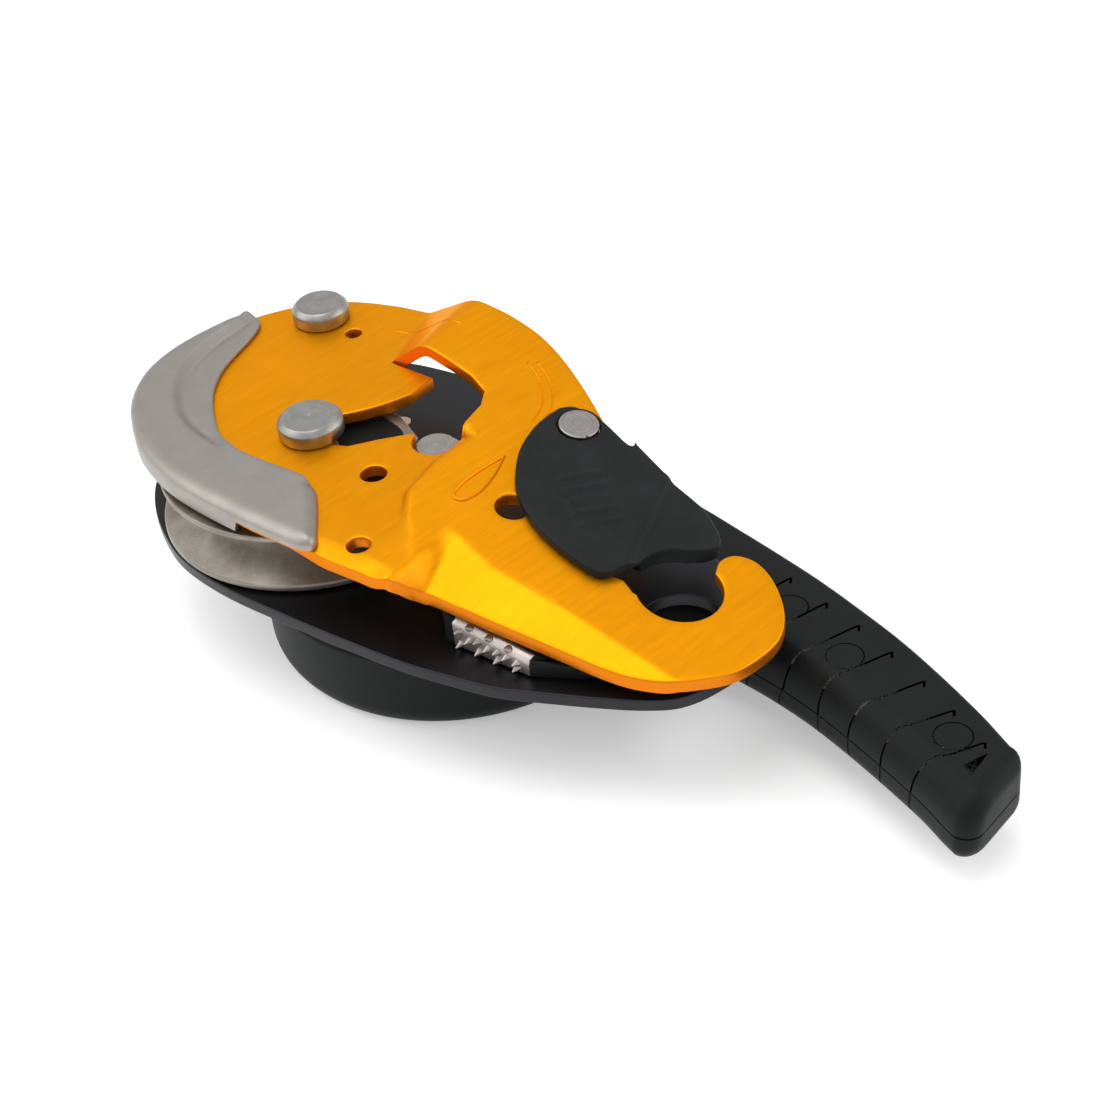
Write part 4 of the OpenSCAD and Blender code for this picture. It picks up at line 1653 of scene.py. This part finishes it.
@dataclass
class Gate:
    """Plastic gate over the hook's mouth, laid out in its own tilted frame from its pin."""

    high: float = 2.5
    seat: float = 0.15
    nose_drop: float = 1.1
    slope: float = 11.86
    rib: float = 0.4
    rib_pitch: float = 3.6
    ribs_from_pin: float = 23.0
    nose_depth: float = 3.1
    pin: Point = (51.4, 32.6)
    outline: tuple[Point, ...] = (
        (-7.3, -1.5), (-7, -7.6), (-4.3, -16), (2.5, -25), (11.5, -30.4), (20.5, -32.7), (29, -33.4),
        (32.5, -32), (34, -27.6), (35.2, -24.6))
    rest: tuple[Point, ...] = (
        (41.3, -13.6), (44.1, -10.4), (44, -6.5), (37, -2), (33, -0.8), (22.8, 1.1), (12.8, 4.2),
        (11.8, 2.7), (2.4, 5), (-4.4, 4.4), (-6.9, 1.6))

    def top(self, x: np.ndarray, y: np.ndarray) -> np.ndarray:
        """Height of the upper face above the plate.

        Args:
            x: x of the places from the pin, in metres.
            y: y of the places.

        Returns:
            The heights, in metres.
        """
        x, y = x / MM, y / MM
        nose = self.nose_drop * eased(x + 0.35 * y, 24.5, 26.5)
        along = x * 0.81 - y * 0.58
        across = x * 0.58 + y * 0.81
        out = along - self.ribs_from_pin
        wave = 0.5 + 0.5 * np.cos(out * 2 * math.pi / self.rib_pitch)
        patch = (1 - eased(abs(out), 8.0, 9.5)) * (1 - eased(abs(across + 4.5), 4.2, 5.6))
        crown = 0.25 * eased(-x - y, 0.0, 26.0)
        return (self.high - nose - crown + self.rib * eased(wave, 0.35, 0.8) * patch) * MM

    def bottom(self, x: np.ndarray, y: np.ndarray) -> np.ndarray:
        """Height of the underside, which drops into the mouth at the nose.

        Args:
            x: x of the places from the pin, in metres.
            y: y of the places.

        Returns:
            The heights, in metres.
        """
        deep = eased(x / MM, 31.3, 31.9) * eased(y / MM, -23.6, -23.0) * (1 - eased(y / MM, -1.6, -1.0))
        return (self.seat - self.nose_depth * deep) * MM

    def build(self) -> None:
        """Makes the gate."""
        slope = math.radians(self.slope)
        eye_x = 44.5 / math.cos(slope)
        front, side, back = ([Vector(p) * MM for p in smooth_curve(part, 6, closed=False)]
                             for part in (self.outline, self.rest[:6], self.rest[6:]))
        points = front + ring((eye_x * MM, -23.3 * MM), 10.2 * MM, 185, 116, 16) + side + back
        hole = ring((0, 0), 4.85 * MM)
        mesh = Sheet(points, [hole], self.top, self.bottom, 0.55 * MM, 1.0 * MM).mesh()
        x, y = self.pin
        height = MovingPlate.rise - MovingPlate.fall * x
        pin = Vector((AXLE[0] + x * MM, AXLE[1] + y * MM, height * MM))
        move = Matrix.Translation(pin) @ Matrix.Rotation(slope, 4, "Y")
        bmesh.ops.transform(mesh, matrix=move, verts=mesh.verts)
        ride(finish_mesh("gate_moulding", mesh, Finish.GATE.material(), 40.0), "gate",
             ["gate_body"])


@dataclass
class Teeth:
    """Hardened insert with staggered rows of conical teeth, in the catch's near face."""

    columns: int = 4
    pitch: float = 5.0
    rows: tuple[Point, ...] = ((1.6, 0.0), (3.5, 6.0), (5.4, 14.0), (7.2, 36.0))
    radius: float = 0.95
    length: float = 1.9
    sides: int = 20
    taper: tuple[Point, ...] = ((-0.1, 1.0), (0.04, 1.0), (0.14, 0.9), (0.8, 0.3), (0.95, 0.17),
                                (1.0, 0.04))
    high: float = 8.0
    low: float = 0.6
    outline: tuple[Point, ...] = ((60.3, -23.2), (80.2, -22.4), (80.2, -20.2), (60.3, -21))

    def top(self, x: np.ndarray, y: np.ndarray) -> np.ndarray:
        """Height of the insert's top, which leans down towards its toothed face.

        Args:
            x: x of the places, in metres.
            y: y of the places.

        Returns:
            The heights, in metres.
        """
        x, y = to_axle(x, y)
        depth = np.clip(y + 23.2 - 0.04 * (x - 60.3), 0.0, 1.6)
        return (self.high - 0.15 * (x - 60) - 0.75 * (1.6 - depth)) * MM

    def tooth(self, mesh: bmesh.types.BMesh, x: float, z: float, lean: float) -> None:
        """Adds one tooth.

        Args:
            mesh: the insert.
            x: its place along the insert, in millimetres from the cam axle.
            z: its height, in millimetres.
            lean: how far it points up, in degrees.
        """
        root = from_axle([(x, -23.0 + 0.04 * (x - 60.3) + (0.5 if lean > 20 else 0.0))])[0]
        out = Vector((0, -math.cos(math.radians(lean)), math.sin(math.radians(lean))))
        side, up = Vector((1, 0, 0)), Vector((1, 0, 0)).cross(out)
        middle = Vector((root.x, root.y, z * MM))
        rings = []
        for far, size in self.taper:
            around = [side * math.cos(a) + up * math.sin(a) for a in circle(self.sides)]
            rings.append([mesh.verts.new(middle + out * self.length * far * MM
                                         + self.radius * size * MM * way) for way in around])
        bridge(mesh, rings, caps=True)

    def build(self) -> None:
        """Makes the insert."""
        outline = from_axle(self.outline)
        mesh = Sheet(outline, [], self.top, lambda x, y: self.low * MM + 0 * x, 0.2 * MM,
                     1.2 * MM).mesh()
        for row, (z, lean) in enumerate(self.rows):
            for column in range(self.columns):
                x = 62.0 + self.pitch * (column + 0.5 * (row % 2))
                height = z if row < 2 else z - 0.15 * (x - 60)
                if x < 79.4 and (row != 1 or x < 78):
                    self.tooth(mesh, x, height, lean)
        ride(finish_mesh("tooth_rows", mesh, Finish.INSERT.material(), 40.0), "catch",
             ["toothed_insert"])


@dataclass
class Studio:
    """Pale floor, soft lights and the camera."""

    focus: tuple[float, float, float] = (-0.04467, 0.01041, -0.00644)
    distance: float = 0.5
    azimuth: float = 42.81
    elevation: float = 37.76
    roll: float = -6.54
    lens: float = 72.0
    floor_size: float = 3.0
    floor_glow: float = 0.32
    sky: float = 0.74
    lamps: tuple[tuple[str, tuple[float, float, float], float, float], ...] = (
        ("top", (-0.2, -0.02, 0.95), 0.75, 3.6), ("key", (-0.7, -0.5, 0.6), 0.8, 2.6),
        ("rim", (0.6, 0.5, 0.35), 0.7, 2.0))

    def camera(self) -> None:
        """Makes the camera."""
        a, e = math.radians(self.azimuth), math.radians(self.elevation)
        back = Vector((math.sin(a) * math.cos(e), -math.cos(a) * math.cos(e), math.sin(e)))
        right = Vector((math.cos(a), math.sin(a), 0.0))
        up = back.cross(right)
        turn = math.radians(self.roll)
        right, up = (right * math.cos(turn) + up * math.sin(turn),
                     up * math.cos(turn) - right * math.sin(turn))
        data = bpy.data.cameras.new("camera")
        data.lens = self.lens
        data.sensor_width = 36.0
        data.clip_start, data.clip_end = 0.01, 20.0
        camera = bpy.data.objects.new("camera", data)
        place = Matrix((right, up, back)).transposed().to_4x4()
        place.translation = Vector(self.focus) + back * self.distance
        camera.matrix_world = place
        bpy.context.scene.collection.objects.link(camera)
        bpy.context.scene.camera = camera

    def light(self, name: str, spot: tuple[float, float, float], size: float, power: float) -> None:
        """Makes one soft area light that faces the object.

        Args:
            name: its name.
            spot: its place.
            size: length of its side.
            power: its power, in watts.
        """
        data = bpy.data.lights.new(name, "AREA")
        data.size = size
        data.energy = power
        lamp = bpy.data.objects.new(name, data)
        lamp.location = spot
        lamp.rotation_mode = "QUATERNION"
        lamp.rotation_quaternion = (Vector(self.focus) - Vector(spot)).to_track_quat("-Z", "Y")
        bpy.context.scene.collection.objects.link(lamp)

    def floor(self, height: float) -> None:
        """Makes the floor that the object rests on.

        Args:
            height: its height.
        """
        mesh = bmesh.new()
        bmesh.ops.create_grid(mesh, x_segments=8, y_segments=8, size=self.floor_size)
        bmesh.ops.translate(mesh, verts=mesh.verts, vec=(0, 0, height))
        paint = Paint("floor")
        clouds = paint.noise(400.0, 2.0)
        colour = paint.blend(clouds.between(0.3, 0.7), scaled(WHITE, 0.86), scaled(WHITE, 0.88))
        paint.shader.inputs["Emission Color"].default_value = opaque(WHITE)
        paint.shader.inputs["Emission Strength"].default_value = self.floor_glow
        finish_mesh("floor", mesh, paint.dress(colour, 0.9, specular=0.1))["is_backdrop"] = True

    def build(self) -> None:
        """Makes everything round the object."""
        self.camera()
        world = bpy.data.worlds.new("world")
        bpy.context.scene.world = world
        world.use_nodes = True
        background = world.node_tree.nodes["Background"]
        background.inputs["Color"].default_value = opaque(WHITE)
        background.inputs["Strength"].default_value = self.sky
        for lamp in self.lamps:
            self.light(*lamp)
        self.floor(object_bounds()[0].z)
        bpy.context.scene.view_settings.view_transform = "Standard"


def main() -> None:
    """Builds the pieces in order."""
    logging.basicConfig(level=logging.INFO, format="%(message)s")
    NodeDress().dress()
    for assembly in (Studs, Coils, Handle, MovingPlate, Guard, Gate, Teeth, Studio):
        assembly().build()


if __name__ == "__main__":
    main()
